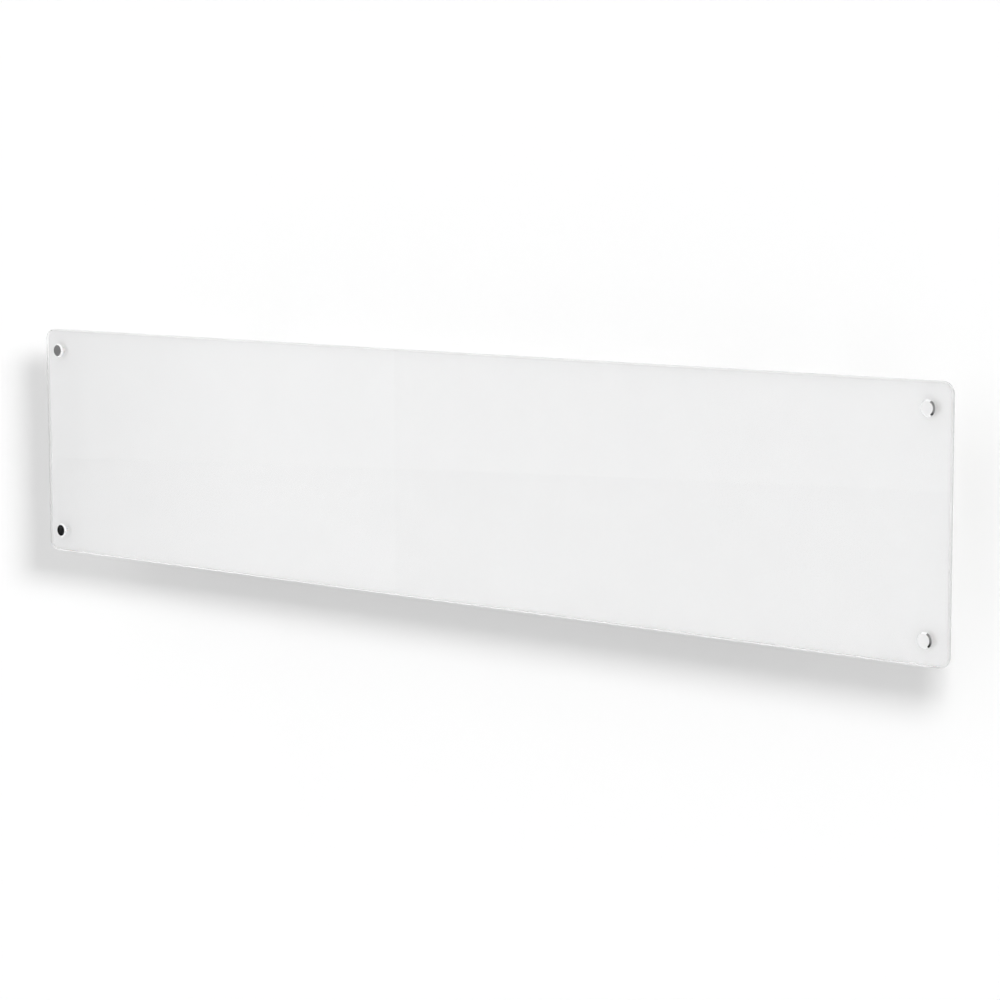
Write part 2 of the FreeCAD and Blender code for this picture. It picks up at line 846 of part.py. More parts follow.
def make_end_cap(side):
    """A moulded cap over one end of the casing, with a skirt that fits inside it."""
    sign = SIDES[side]
    outward = side == "right"
    body = start_body(f"end_cap_{side}")
    plate = start_sketch(body, "YZ_Plane", f"{sign}(casing_end)")
    add_rectangle(plate, "-(casing_front)", "-wall_gap", "-(casing_top)", "casing_top")
    pad(body, plate, "end_cap_thick", reverse=not outward)
    dress_edges(
        body,
        "Fillet",
        "bend_radius + sheet_thick",
        lambda edge: along(edge, "X") and in_plane(edge, "Y", "-wall_gap"),
    )
    dress_edges(
        body,
        "Fillet",
        "end_cap_round",
        lambda edge: in_plane(edge, "X", f"{sign}(casing_end + end_cap_thick)")
        and not in_plane(edge, "Y", "-(casing_front)"),
    )
    skirt = start_sketch(body, "YZ_Plane", f"{sign}(casing_end)")
    rear = "-(casing_inside + skirt_gap)"
    front = "-(casing_front - skirt_gap)"
    add_rectangle(skirt, front, rear, "-(skirt_top)", "skirt_top")
    add_rectangle(
        skirt,
        f"{front} + skirt_thick",
        f"{rear} - skirt_thick",
        "-(skirt_top - skirt_thick)",
        "skirt_top - skirt_thick",
    )
    pad(body, skirt, "skirt_depth", reverse=outward)
    dress_edges(
        body,
        "Fillet",
        "bend_radius",
        lambda edge: along(edge, "X") and in_plane(edge, "Y", rear) and at(edge.Length, "skirt_depth"),
    )
    screws = start_sketch(body, "XZ_Plane", "casing_inside + skirt_gap + skirt_thick + overrun")
    for level in LEVELS.values():
        add_circle(screws, "tapping_hole", f"{sign}(end_screw_x)", f"{level}(end_screw_z)")
    pocket(body, screws, "skirt_thick + 2*overrun")
    if outward:
        opening = start_sketch(body, "YZ_Plane", "switch_x + overrun")
        add_centred(opening, "switch_width", "switch_height", "-(duct_depth)", "switch_rise")
        pocket(body, opening, "end_cap_thick + 2*overrun")


def make_tapping_screws():
    """Self-tapping screws: those along the casing's flanges and those in the end caps."""
    flange = start_body("casing_screws")
    flange_back = "casing_front - sheet_thick"
    head_back = f"{flange_back} - tapping_head_height"
    head = flange_screw_row(flange, head_back, "tapping_head_height", "tapping_head_dia")
    shank = flange_screw_row(flange, flange_back, "2*sheet_thick + tapping_tip", "tapping_dia")
    repeat(flange, [head, shank], "X_Axis", "flange_screw_pitch", "flange_screw_count")

    ends = start_body("end_cap_screws")
    lengths = [
        ("wall_gap - tapping_head_height", "tapping_head_height", "tapping_head_dia"),
        ("wall_gap", "sheet_thick + skirt_gap + skirt_thick + tapping_tip", "tapping_dia"),
    ]
    for depth, length, diameter in lengths:
        sketch = start_sketch(ends, "XZ_Plane", depth)
        add_circle(sketch, diameter, "end_screw_x", "end_screw_z")
        pad(ends, sketch, length)
    mirror_corners(ends)


# Outlet grille


def make_outlet_grille():
    """A grille of leaning vanes and cross ribs in a frame that drops into the casing's top."""
    body = start_body("outlet_grille")
    lip = start_sketch(body, "XY_Plane")
    add_centred(lip, "grille_length + 2*grille_lip", "grille_depth + 2*grille_lip")
    add_centred(lip, "grille_inner_length", "grille_inner_depth")
    pad(body, lip, "grille_lip_thick")
    frame = start_sketch(body, "XY_Plane")
    add_centred(frame, "grille_length - 2*grille_gap", "grille_depth - 2*grille_gap")
    add_centred(frame, "grille_inner_length", "grille_inner_depth")
    pad(body, frame, "grille_drop", reverse=True)

    vane = start_sketch(body, "YZ_Plane")
    top_y = "vane_pitch - (grille_inner_depth)/2 - vane_thick/2"
    add_outline(
        vane,
        [
            (top_y, "grille_lip_thick"),
            (f"{top_y} + vane_thick", "grille_lip_thick"),
            (f"{top_y} + vane_thick + vane_lean/2", "-grille_drop/2"),
            (f"{top_y} + vane_thick", "-grille_drop"),
            (top_y, "-grille_drop"),
            (f"{top_y} + vane_lean/2", "-grille_drop/2"),
        ],
    )
    vanes = pad(body, vane, "grille_inner_length + grille_wall", centred=True)
    repeat(body, [vanes], "Y_Axis", "vane_pitch", "vane_count")

    rib = start_sketch(body, "XZ_Plane")
    left = "-(grille_inner_length)/2 + rib_pitch"
    add_rectangle(
        rib,
        f"{left} - rib_thick/2",
        f"{left} + rib_thick/2",
        "-grille_drop",
        "-rib_lowering",
    )
    ribs = pad(body, rib, "grille_inner_depth + grille_wall", centred=True)
    repeat(body, [ribs], "X_Axis", "rib_pitch", "ceil((grille_inner_length)/rib_pitch) - 1")
    place(body, "grille_x", "duct_depth", "casing_top")


# Heating element and heat shield


def make_heating_element():
    """An aluminium cross of four slit fins round a central tube."""
    body = start_body("heating_element")
    tube = start_sketch(body, "YZ_Plane")
    add_circle(tube, "tube_dia")
    pad(body, tube, "element_length", centred=True)
    for up in ("", "-"):
        for across in ("", "-"):
            fin = start_sketch(body, "YZ_Plane")
            side = [(f"{across}({y})", f"{up}({z})") for y, z in (
                ("-(fin_side_y)", "fin_side_z"),
                ("fin_spread - (fin_side_y)", "fin_reach + fin_side_z"),
                ("fin_spread + fin_side_y", "fin_reach - (fin_side_z)"),
                ("fin_side_y", "-(fin_side_z)"),
            )]
            add_outline(fin, side)
            pad(body, fin, "element_length", centred=True)
    bore = start_sketch(body, "YZ_Plane")
    add_circle(bore, "rod_dia + 2*rod_gap")
    pocket(body, bore, centred=True)
    slit = start_sketch(body, "XZ_Plane")
    left = "slit_pitch - (element_length)/2"
    for level in LEVELS.values():
        near, far = f"{level}(slit_start)", f"{level}(slit_start + slit_length)"
        add_rectangle(slit, f"{left} - slit_width/2", f"{left} + slit_width/2", near, far)
    slits = pocket(body, slit, centred=True)
    repeat(body, [slits], "X_Axis", "slit_pitch", "ceil((element_length)/slit_pitch) - 1")
    place(body, "element_x", "element_axis", "element_z")


def make_heating_rod():
    """The sheathed rod inside the element, with a terminal pin at each end."""
    body = start_body("heating_rod")
    sketch = start_sketch(body, "XY_Plane")
    sheath = "element_length/2 + rod_overhang"
    add_outline(
        sketch,
        [
            ("-(pin_end)", "0"),
            ("pin_end", "0"),
            ("pin_end", "pin_dia/2"),
            (sheath, "pin_dia/2"),
            (sheath, "rod_dia/2"),
            (f"-({sheath})", "rod_dia/2"),
            (f"-({sheath})", "pin_dia/2"),
            ("-(pin_end)", "pin_dia/2"),
        ],
    )
    revolve(body, sketch, "X_Axis")
    place(body, "element_x", "element_axis", "element_z")


def make_element_support(side):
    """A ceramic bush on the rod and the hanger that carries it off the casing's back."""
    sign = SIDES[side]
    outward = side == "right"
    hanger_x = f"element_x {sign or '+'} (element_length/2 + hanger_offset)"

    hanger = start_body(f"element_hanger_{side}")
    nose = start_sketch(hanger, "YZ_Plane")
    add_circle(nose, "hanger_width", "-(element_axis)")
    pad(hanger, nose, "hanger_thick", reverse=not outward)
    plate = start_sketch(hanger, "YZ_Plane")
    add_rectangle(plate, "-(element_axis)", "-(casing_inside)", "-hanger_width/2", "hanger_width/2")
    pad(hanger, plate, "hanger_thick", reverse=not outward)
    foot = start_sketch(hanger, "YZ_Plane")
    add_rectangle(
        foot,
        "-(casing_inside + hanger_thick)",
        "-(casing_inside)",
        "-hanger_width/2",
        "hanger_width/2",
    )
    pad(hanger, foot, "hanger_foot", reverse=not outward)
    hole = start_sketch(hanger, "YZ_Plane")
    add_circle(hole, "bush_dia + 2*rod_gap", "-(element_axis)")
    pocket(hanger, hole, centred=True)
    place(hanger, hanger_x, "0", "element_z")

    bush = start_body(f"ceramic_bush_{side}")
    sketch = start_sketch(bush, "XY_Plane")
    add_outline(
        sketch,
        [
            (f"{sign}(-bush_flange)", "rod_dia/2 + rod_gap"),
            (f"{sign}(hanger_thick + bush_tail)", "rod_dia/2 + rod_gap"),
            (f"{sign}(hanger_thick + bush_tail)", "bush_dia/2"),
            (f"{sign}0", "bush_dia/2"),
            (f"{sign}0", "bush_flange_dia/2"),
            (f"{sign}(-bush_flange)", "bush_flange_dia/2"),
        ],
    )
    revolve(bush, sketch, "X_Axis")
    place(bush, hanger_x, "element_axis", "element_z")


def make_heat_shield():
    """A bright sheet that stands off the casing's back on two folded feet."""
    body = start_body("rear_heat_shield")
    sketch = start_sketch(body, "YZ_Plane", "shield_left")
    edge = "shield_top"
    upper = [
        ("-(shield_back)", f"{edge} - shield_thick"),
        ("-(casing_inside)", f"{edge} - shield_thick"),
        ("-(casing_inside)", f"{edge} + shield_foot"),
        ("-(casing_inside + shield_thick)", f"{edge} + shield_foot"),
        ("-(casing_inside + shield_thick)", edge),
        ("-(shield_front)", edge),
    ]
    lower = [(across, f"-({up})") for across, up in reversed(upper)]
    add_outline(sketch, upper + lower)
    pad(body, sketch, "shield_length")


def make_thermal_cutout():
    """The overheat switch on the shield: a can on a flange with a blade at each side."""
    body = start_body("thermal_cutout")
    ear = start_sketch(body, "XZ_Plane", "shield_front")
    add_centred(ear, "cutout_ear_width", "cutout_ear")
    pad(body, ear, "cutout_ear_thick")
    can = start_sketch(body, "XZ_Plane", "shield_front")
    add_circle(can, "cutout_dia")
    pad(body, can, "cutout_height")
    dress_edges(
        body,
        "Fillet",
        "cutout_ear_thick",
        lambda edge: in_plane(edge, "Y", "-(shield_front + cutout_height)"),
    )
    blade = start_sketch(body, "XY_Plane")
    add_centred(blade, "cutout_dia + 2*blade_length", "blade_width", "0", "-(wire_depth)")
    pad(body, blade, "blade_thick", centred=True)
    place(body, "cutout_x", "0", "cutout_z")


# Control bulkhead, boards and wiring


def make_control_bulkhead():
    """The wall between the warm duct and the control chamber, on a foot along the casing's back."""
    body = start_body("control_bulkhead")
    height = "casing_height - 2*sheet_thick - 2*bulkhead_gap"
    wall = start_sketch(body, "XY_Plane")
    add_outline(
        wall,
        [
            ("0", "-(casing_inside)"),
            ("0", "bulkhead_gap - (casing_front)"),
            ("sheet_thick", "bulkhead_gap - (casing_front)"),
            ("sheet_thick", "-(casing_inside + sheet_thick)"),
            ("bulkhead_foot", "-(casing_inside + sheet_thick)"),
            ("bulkhead_foot", "-(casing_inside)"),
        ],
    )
    pad(body, wall, f"{height} - 2*bend_radius", centred=True)
    holes = start_sketch(body, "YZ_Plane")
    add_circle(holes, "grommet_hole", "-(wire_depth)", "cutout_z")
    add_circle(holes, "grommet_hole", "-(duct_depth)", "return_z")
    pocket(body, holes, centred=True)
    place(body, "bulkhead_x")


def make_wire_grommets():
    """Two silicone grommets that line the wire holes of the bulkhead."""
    body = start_body("wire_grommets")
    spots = [("-(wire_depth)", "cutout_z"), ("-(duct_depth)", "return_z")]
    lengths = [
        ("-grommet_flange", "grommet_flange", "grommet_flange_dia"),
        ("0", "sheet_thick", "grommet_neck"),
        ("sheet_thick", "grommet_flange", "grommet_flange_dia"),
    ]
    for offset, length, outer in lengths:
        sketch = start_sketch(body, "YZ_Plane", offset)
        for across, up in spots:
            add_ring(sketch, outer, "grommet_bore", across, up)
        pad(body, sketch, length)
    place(body, "bulkhead_x")


def board_posts(sketch, diameter):
    """A circle at each corner post of the power board."""
    for side in SIDES.values():
        for level in LEVELS.values():
            add_circle(sketch, diameter, f"{side}(post_x)", f"{level}(post_z)")


def make_power_board():
    """The power board on its posts, which snap through it."""
    board = start_body("power_board")
    sketch = start_sketch(board, "XZ_Plane", "board_back")
    add_centred(sketch, "board_length", "board_height")
    pad(board, sketch, "board_thick")
    holes = start_sketch(board, "XZ_Plane", "board_front + overrun")
    board_posts(holes, "post_pin_dia + 2*post_pin_gap")
    pocket(board, holes, "board_thick + 2*overrun")
    place(board, "fascia_x", "0", "board_z")

    posts = start_body("board_posts")
    lengths = [
        ("casing_inside", "board_stand", "post_dia"),
        ("board_back", "board_thick + post_pin_rise", "post_pin_dia"),
    ]
    for depth, length, diameter in lengths:
        sketch = start_sketch(posts, "XZ_Plane", depth)
        board_posts(sketch, diameter)
        pad(posts, sketch, length)
    place(posts, "fascia_x", "0", "board_z")


def make_box(label, size, centre, back):
    """A plain block that stands on the power board, from (length, height, depth) and its centre."""
    box = doc.addObject("Part::Box", label)
    box.Label = label
    length, height, depth = size
    box.setExpression("Length", bound(length))
    box.setExpression("Width", bound(depth))
    box.setExpression("Height", bound(height))
    place(
        box,
        f"{centre[0]} - ({length})/2",
        f"{back} + {depth}",
        f"{centre[1]} - ({height})/2",
    )
    return box


def make_board_pieces():
    """Relay, transformer and capacitor on the power board."""
    left = "fascia_x - board_length/4"
    right = "fascia_x + board_length/4"
    relay = make_box(
        "power_relay",
        ("relay_length", "relay_width", "relay_height"),
        (left, "board_z + board_height/8"),
        "board_front",
    )
    parts.append(relay)

    middle = "board_z - board_height/5"
    core = make_box(
        "transformer_core",
        ("transformer_length", "transformer_width", "transformer_height*transformer_core_share"),
        (left, middle),
        "board_front",
    )
    coil = make_box(
        "transformer_coil",
        ("transformer_length*transformer_core_share", "transformer_width", "transformer_height"),
        (left, middle),
        "board_front",
    )
    transformer = doc.addObject("Part::Fuse", "board_transformer")
    transformer.Label = "board_transformer"
    transformer.Base = core
    transformer.Tool = coil
    parts.append(transformer)

    can = start_body("smoothing_capacitor")
    sketch = start_sketch(can, "XZ_Plane", "board_front")
    add_circle(sketch, "capacitor_dia")
    pad(can, sketch, "capacitor_height")
    dress_edges(
        can, "Fillet", "fascia_round", lambda edge: in_plane(edge, "Y", "-(board_front + capacitor_height)")
    )
    place(can, right, "0", middle)


def make_terminal_block():
    """The mains terminal block on the casing's back, with three wire entries in its lower face."""
    body = start_body("terminal_block")
    sketch = start_sketch(body, "XZ_Plane", "casing_inside")
    add_centred(sketch, "block_length", "block_height")
    pad(body, sketch, "block_depth")
    entry = start_sketch(body, "XY_Plane", "-block_height/2")
    add_circle(entry, "block_hole", "-block_pitch", "-(casing_inside + block_depth/2)")
    entries = pocket(body, entry, "block_hole_depth", reverse=True)
    repeat(body, [entries], "X_Axis", "block_pitch", "3")
    place(body, "fascia_x", "0", "block_z")


def make_earth_screw():
    """The earth screw: a hexagon head on a washer against the casing's back."""
    body = start_body("earth_screw")
    washer = start_sketch(body, "XZ_Plane", "casing_inside")
    add_circle(washer, "earth_washer_dia")
    pad(body, washer, "earth_washer_thick")
    head = start_sketch(body, "XZ_Plane", "casing_inside + earth_washer_thick")
    add_hexagon(head, "earth_flats")
    pad(body, head, "earth_head")
    place(body, "earth_x", "0", "block_z")


def wire_path(points, radius):
    """Straight runs through the points, joined by tangent arcs."""
    edges = []
    start = points[0]
    for before, corner, after in zip(points, points[1:], points[2:]):
        back = (before - corner).normalize()
        ahead = (after - corner).normalize()
        half = back.getAngle(ahead) / 2
        reach = radius / math.tan(half)
        first, last = corner + back * reach, corner + ahead * reach
        middle = corner + (back + ahead).normalize() * (radius / math.sin(half) - radius)
        edges.append(Part.LineSegment(start, first).toShape())
        edges.append(Part.Arc(first, middle, last).toShape())
        start = last
    edges.append(Part.LineSegment(start, points[-1]).toShape())
    return Part.Wire(edges)


def make_wire(label, route):
    """An insulated wire along a route of (across, depth, up) points."""
    points = [FreeCAD.Vector(number(x), -number(depth), number(z)) for x, depth, z in route]
    path = wire_path(points, number("wire_bend"))
    radius = number("wire_dia") / 2
    section = Part.Wire(Part.Circle(points[0], points[1] - points[0], radius).toShape())
    tube = path.makePipe(Part.Face(section))
    if abs(tube.Volume / (math.pi * radius**2 * path.Length) - 1) > number("route_share"):
        raise ValueError(f"{label} doesn't follow its route")
    wire = doc.addObject("Part::Feature", label)
    wire.Label = label
    wire.Shape = tube
    wire.Placement = FreeCAD.Placement()
    parts.append(wire)


def make_wires():
    """Live lead by way of the cut-out, return lead along the duct's floor, and the earth lead."""
    board_x = "fascia_x - board_length/8"
    lead_z = "board_z + board_height/4"
    make_wire(
        "live_wire",
        [
            (board_x, "board_front", lead_z),
            (board_x, "wire_depth", lead_z),
            ("bulkhead_x + wire_turn", "wire_depth", "cutout_z"),
            ("cutout_x + cutout_dia/2 + blade_length", "wire_depth", "cutout_z"),
        ],
    )
    blade_end = "cutout_x - cutout_dia/2 - blade_length"
    link_z = "fin_top + cutout_clear/2"
    pin_x = "element_x + pin_end"
    turn_x = f"({pin_x} + bulkhead_x)/2"
    make_wire(
        "link_wire",
        [
            (blade_end, "wire_depth", "cutout_z"),
            (f"{blade_end} - wire_turn", "wire_depth", "cutout_z"),
            (f"{blade_end} - wire_turn", "wire_depth", link_z),
            (turn_x, "wire_depth", link_z),
            (turn_x, "element_axis", "element_z"),
            (pin_x, "element_axis", "element_z"),
        ],
    )
    exit_depth = "casing_inside + block_depth*block_exit_share"
    far_pin = "element_x - (pin_end)"
    make_wire(
        "return_wire",
        [
            (far_pin, "element_axis", "element_z"),
            (f"{far_pin} - wire_turn", "element_axis", "element_z"),
            (f"{far_pin} - wire_turn", "duct_depth", "return_z"),
            ("bulkhead_x + wire_turn", "duct_depth", "return_z"),
            ("block_left - wire_turn", exit_depth, "block_z"),
            ("block_left", exit_depth, "block_z"),
        ],
    )
    make_wire(
        "earth_wire",
        [
            ("block_left + block_length", exit_depth, "block_z"),
            ("earth_x", exit_depth, "block_z"),
            ("earth_x", "earth_top", "block_z"),
        ],
    )


# Control fascia, display and buttons


def fascia_bosses(sketch, diameter):
    """A circle at each boss that carries the display board."""
    for across in ("", "-"):
        for up in ("", "-"):
            add_circle(sketch, diameter, f"{across}(boss_x)", f"{up}(boss_y)")


def button_places():
    """The buttons' places along the fascia."""
    return [f"last_button - {step}*button_pitch" for step in reversed(range(len(BUTTONS)))]


def make_control_fascia():
    """The moulded fascia in the casing's top: a plate, a skirt, and bosses for the display board."""
    body = start_body("control_fascia")
    plate = start_sketch(body, "XY_Plane")
    add_centred(plate, "fascia_length + 2*fascia_lip", "fascia_depth + 2*fascia_lip")
    pad(body, plate, "fascia_thick")
    dress_edges(body, "Fillet", "fascia_round", lambda edge: in_plane(edge, "Z", "fascia_thick"))
    skirt = start_sketch(body, "XY_Plane")
    outer = ["fascia_length - 2*fascia_gap", "fascia_depth - 2*fascia_gap"]
    add_centred(skirt, *outer)
    add_centred(skirt, *(f"{size} - 2*fascia_wall" for size in outer))
    pad(body, skirt, "fascia_drop", reverse=True)
    bosses = start_sketch(body, "XY_Plane")
    fascia_bosses(bosses, "boss_dia")
    pad(body, bosses, "display_drop", reverse=True)
    pins = start_sketch(body, "XY_Plane", "-display_drop")
    fascia_bosses(pins, "boss_pin_dia")
    pad(body, pins, "display_board_thick + boss_pin_rise", reverse=True)

    recess = start_sketch(body, "XY_Plane", "fascia_thick + overrun")
    add_centred(
        recess, "window_length + 2*window_gap", "window_width + 2*window_gap", "window_x"
    )
    pocket(body, recess, "window_thick + overrun")
    openings = start_sketch(body, "XY_Plane", "fascia_thick + overrun")
    add_centred(
        openings, "window_length - 2*window_ledge", "window_width - 2*window_ledge", "window_x"
    )
    for across in button_places():
        add_centred(openings, "button_length + 2*button_gap", "button_width + 2*button_gap", across)
    pocket(body, openings, "fascia_thick + 2*overrun")
    place(body, "fascia_x", "duct_depth", "casing_top")


def make_display():
    """The window in the fascia, and the display board with its module and switches."""
    window = start_body("display_window")
    sketch = start_sketch(window, "XY_Plane", "fascia_thick - window_thick")
    add_centred(sketch, "window_length", "window_width", "window_x")
    pad(window, sketch, "window_thick")

    board = start_body("display_board")
    sketch = start_sketch(board, "XY_Plane", "-display_drop")
    margin = "2*(fascia_gap + fascia_wall + display_board_gap)"
    add_centred(sketch, f"fascia_length - {margin}", f"fascia_depth - {margin}")
    fascia_bosses(sketch, "boss_pin_dia + 2*boss_pin_gap")
    pad(board, sketch, "display_board_thick", reverse=True)

    module = start_body("display_module")
    sketch = start_sketch(module, "XY_Plane", "-display_drop")
    add_centred(sketch, "display_length", "display_width", "window_x")
    pad(module, sketch, "display_height")

    switches = start_body("tact_switches")
    cases = start_sketch(switches, "XY_Plane", "-display_drop")
    plungers = start_sketch(switches, "XY_Plane", "tact_height - display_drop")
    for across in button_places():
        add_centred(cases, "tact_size", "tact_size", across)
        add_circle(plungers, "tact_plunger_dia", across)
    pad(switches, cases, "tact_height")
    pad(switches, plungers, "tact_plunger")

    for body in (window, board, module, switches):
        place(body, "fascia_x", "duct_depth", "casing_top")


def make_button(label, across):
    """A push button with a collar under the fascia and a stem over its switch."""
    body = start_body(label)
    seat = "-(button_seat_gap + button_collar_thick)"
    collar = start_sketch(body, "XY_Plane", seat)
    add_centred(collar, "button_length + 2*button_collar", "button_width + 2*button_collar")
    pad(body, collar, "button_collar_thick")
    key = start_sketch(body, "XY_Plane", "-button_seat_gap")
    add_centred(key, "button_length", "button_width")
    pad(body, key, "button_seat_gap + fascia_thick + button_proud")
    dress_edges(
        body, "Fillet", "button_round", lambda edge: in_plane(edge, "Z", "fascia_thick + button_proud")
    )
    stem = start_sketch(body, "XY_Plane", seat)
    add_circle(stem, "button_stem_dia")
    pad(body, stem, f"{seat} - (tact_top + tact_gap + button_travel)", reverse=True)
    place(body, f"fascia_x + {across}", "duct_depth", "casing_top")


BUTTONS = ["button_minus", "button_plus", "button_mode"]


def make_buttons():
    """The row of push buttons beside the window."""
    for label, across in zip(BUTTONS, button_places()):
        make_button(label, across)


# Power rocker


def make_rocker_housing():
    """The switch housing in the right end cap, with a well for the rocker and holes for its pivots."""
    body = start_body("rocker_housing")
    bezel = start_sketch(body, "YZ_Plane")
    add_centred(bezel, "switch_width + 2*switch_bezel", "switch_height + 2*switch_bezel")
    pad(body, bezel, "switch_bezel_thick")
    dress_edges(body, "Fillet", "switch_round", lambda edge: in_plane(edge, "X", "switch_bezel_thick"))
    block = start_sketch(body, "YZ_Plane")
    add_centred(block, "switch_width - 2*switch_gap", "switch_height - 2*switch_gap")
    pad(body, block, "switch_body", reverse=True)
    well = start_sketch(body, "YZ_Plane", "switch_bezel_thick + overrun")
    add_centred(well, "rocker_width + 2*rocker_gap", "2*(rocker_radius + rocker_gap)")
    pocket(body, well, "overrun + switch_bezel_thick + cavity_depth")
    pivots = start_sketch(body, "XZ_Plane")
    add_circle(pivots, "pivot_dia + 2*pivot_gap", "-pivot_sink")
    pocket(body, pivots, "rocker_width + 2*(pivot_length + pivot_gap)", centred=True)
    place(body, "switch_x", "duct_depth", "switch_rise")


def make_power_rocker():
    """The rocker: a slice of a cylinder about its pivot, dished in front, tilted to its off side."""
    body = start_body("power_rocker")
    disc = start_sketch(body, "XZ_Plane")
    add_circle(disc, "2*rocker_radius")
    pad(body, disc, "rocker_width", centred=True)
    trim = start_sketch(body, "XZ_Plane")
    far = "rocker_radius + overrun"
    add_outline(
        trim,
        [
            ("rocker_dish", "0"),
            ("rocker_rise", "rocker_radius"),
            (far, "rocker_radius"),
            (far, "-rocker_radius"),
            ("rocker_rise", "-rocker_radius"),
        ],
    )
    add_rectangle(trim, f"-({far})", "-rocker_base", f"-({far})", far)
    pocket(body, trim, centred=True)
    pivot = start_sketch(body, "XZ_Plane")
    add_circle(pivot, "pivot_dia")
    pad(body, pivot, "rocker_width + 2*pivot_length", centred=True)
    body.Placement = FreeCAD.Placement(
        FreeCAD.Vector(), FreeCAD.Rotation(FreeCAD.Vector(0, 1, 0), number("rocker_tilt"))
    )
    body.setExpression("Placement.Rotation.Angle", bound("rocker_tilt"))
    place(body, "switch_x - pivot_sink", "duct_depth", "switch_rise")


# Mains gland and room sensor


def make_cable_gland():
    """The gland for the mains lead in the casing's bottom, and the nut that holds it."""
    gland = start_body("cable_gland")
    profile = start_sketch(gland, "XZ_Plane")
    inside = "sheet_thick + gland_rise"
    add_outline(
        profile,
        [
            ("gland_bore/2", "-gland_drop"),
            ("(gland_bore + gland_dia)/4", "-gland_drop"),
            ("gland_dia/2", "gland_taper - gland_drop"),
            ("gland_dia/2", "0"),
            ("gland_thread_dia/2", "0"),
            ("gland_thread_dia/2", inside),
            ("gland_bore/2", inside),
        ],
    )
    revolve(gland, profile, "Z_Axis")
    collar = start_sketch(gland, "XY_Plane")
    add_hexagon(collar, "gland_flats")
    add_circle(collar, "gland_bore")
    pad(gland, collar, "gland_collar", reverse=True)

    nut = start_body("gland_nut")
    sketch = start_sketch(nut, "XY_Plane", "sheet_thick")
    add_hexagon(sketch, "gland_flats")
    add_circle(sketch, "gland_thread_dia + 2*gland_thread_gap")
    pad(nut, sketch, "gland_nut_height")
    for body in (gland, nut):
        place(body, "gland_x", "duct_depth", "-(casing_top)")


def make_room_sensor():
    """The room sensor: a bead on a plug, in a slotted cup that hangs through the casing's bottom."""
    cup = start_body("sensor_cup")
    profile = start_sketch(cup, "XZ_Plane")
    rim = "sheet_thick + cup_flange"
    floor = "cup_wall - cup_drop"
    add_outline(
        profile,
        [
            ("0", "-cup_drop"),
            ("cup_dia/2", "-cup_drop"),
            ("cup_dia/2", "sheet_thick"),
            ("cup_flange_dia/2", "sheet_thick"),
            ("cup_flange_dia/2", rim),
            ("cup_bore/2", rim),
            ("cup_bore/2", floor),
            ("0", floor),
        ],
    )
    revolve(cup, profile, "Z_Axis")
    for plane in ("XZ_Plane", "YZ_Plane"):
        slots = start_sketch(cup, plane)
        add_rectangle(slots, "-cup_slot/2", "cup_slot/2", floor, "-cup_wall")
        pocket(cup, slots, centred=True)

    bead = start_body("room_sensor")
    profile = start_sketch(bead, "XZ_Plane")
    add_outline(
        profile,
        [
            ("0", rim),
            ("cup_bore/2 - cup_gap", rim),
            ("cup_bore/2 - cup_gap", f"{rim} - plug_height"),
            ("bead_dia/2", f"{rim} - plug_height"),
            ("bead_dia/2", "-bead_drop"),
            ("0", "-bead_drop"),
        ],
    )
    revolve(bead, profile, "Z_Axis")
    dress_edges(bead, "Fillet", "bead_dia/3", lambda edge: in_plane(edge, "Z", "-bead_drop"))
    for body in (cup, bead):
        place(body, "sensor_x", "duct_depth", "-(casing_top)")


# Wall bracket


def channel_outline(sketch, half_width, depth):
    """A channel seen from above, with its web on the wall and its flanges towards the room."""
    inner = f"{half_width} - upright_thick"
    right = [
        (half_width, "0"),
        (half_width, f"-({depth})"),
        (inner, f"-({depth})"),
        (inner, "-upright_thick"),
    ]
    left = [(f"-({across})", up) for across, up in reversed(right)]
    add_outline(sketch, right + left)


def bend_channel(body, half_width):
    """Rounds a channel's two folds, inside and outside."""
    inner = f"{half_width} - upright_thick"

    def fold(edge, across, y):
        return along(edge, "Z") and at(abs(edge.BoundBox.XMin), across) and in_plane(edge, "Y", y)

    dress_edges(body, "Fillet", "bend_radius", lambda edge: fold(edge, inner, "-upright_thick"))
    dress_edges(
        body, "Fillet", "bend_radius + upright_thick", lambda edge: fold(edge, half_width, "0")
    )


def hook_outline(sketch, seat):
    """One hook from the side: an arm through the casing's back and a lip that stands up behind it."""
    root = "-(upright_depth - upright_thick)"
    lip_back = "-(hook_front - hook_thick)"
    add_outline(
        sketch,
        [
            (root, f"{seat} - hook_arm"),
            ("-(hook_front)", f"{seat} - hook_arm"),
            ("-(hook_front)", f"{seat} + hook_rise - hook_thick"),
            (lip_back, f"{seat} + hook_rise"),
            (lip_back, seat),
            (root, seat),
        ],
    )


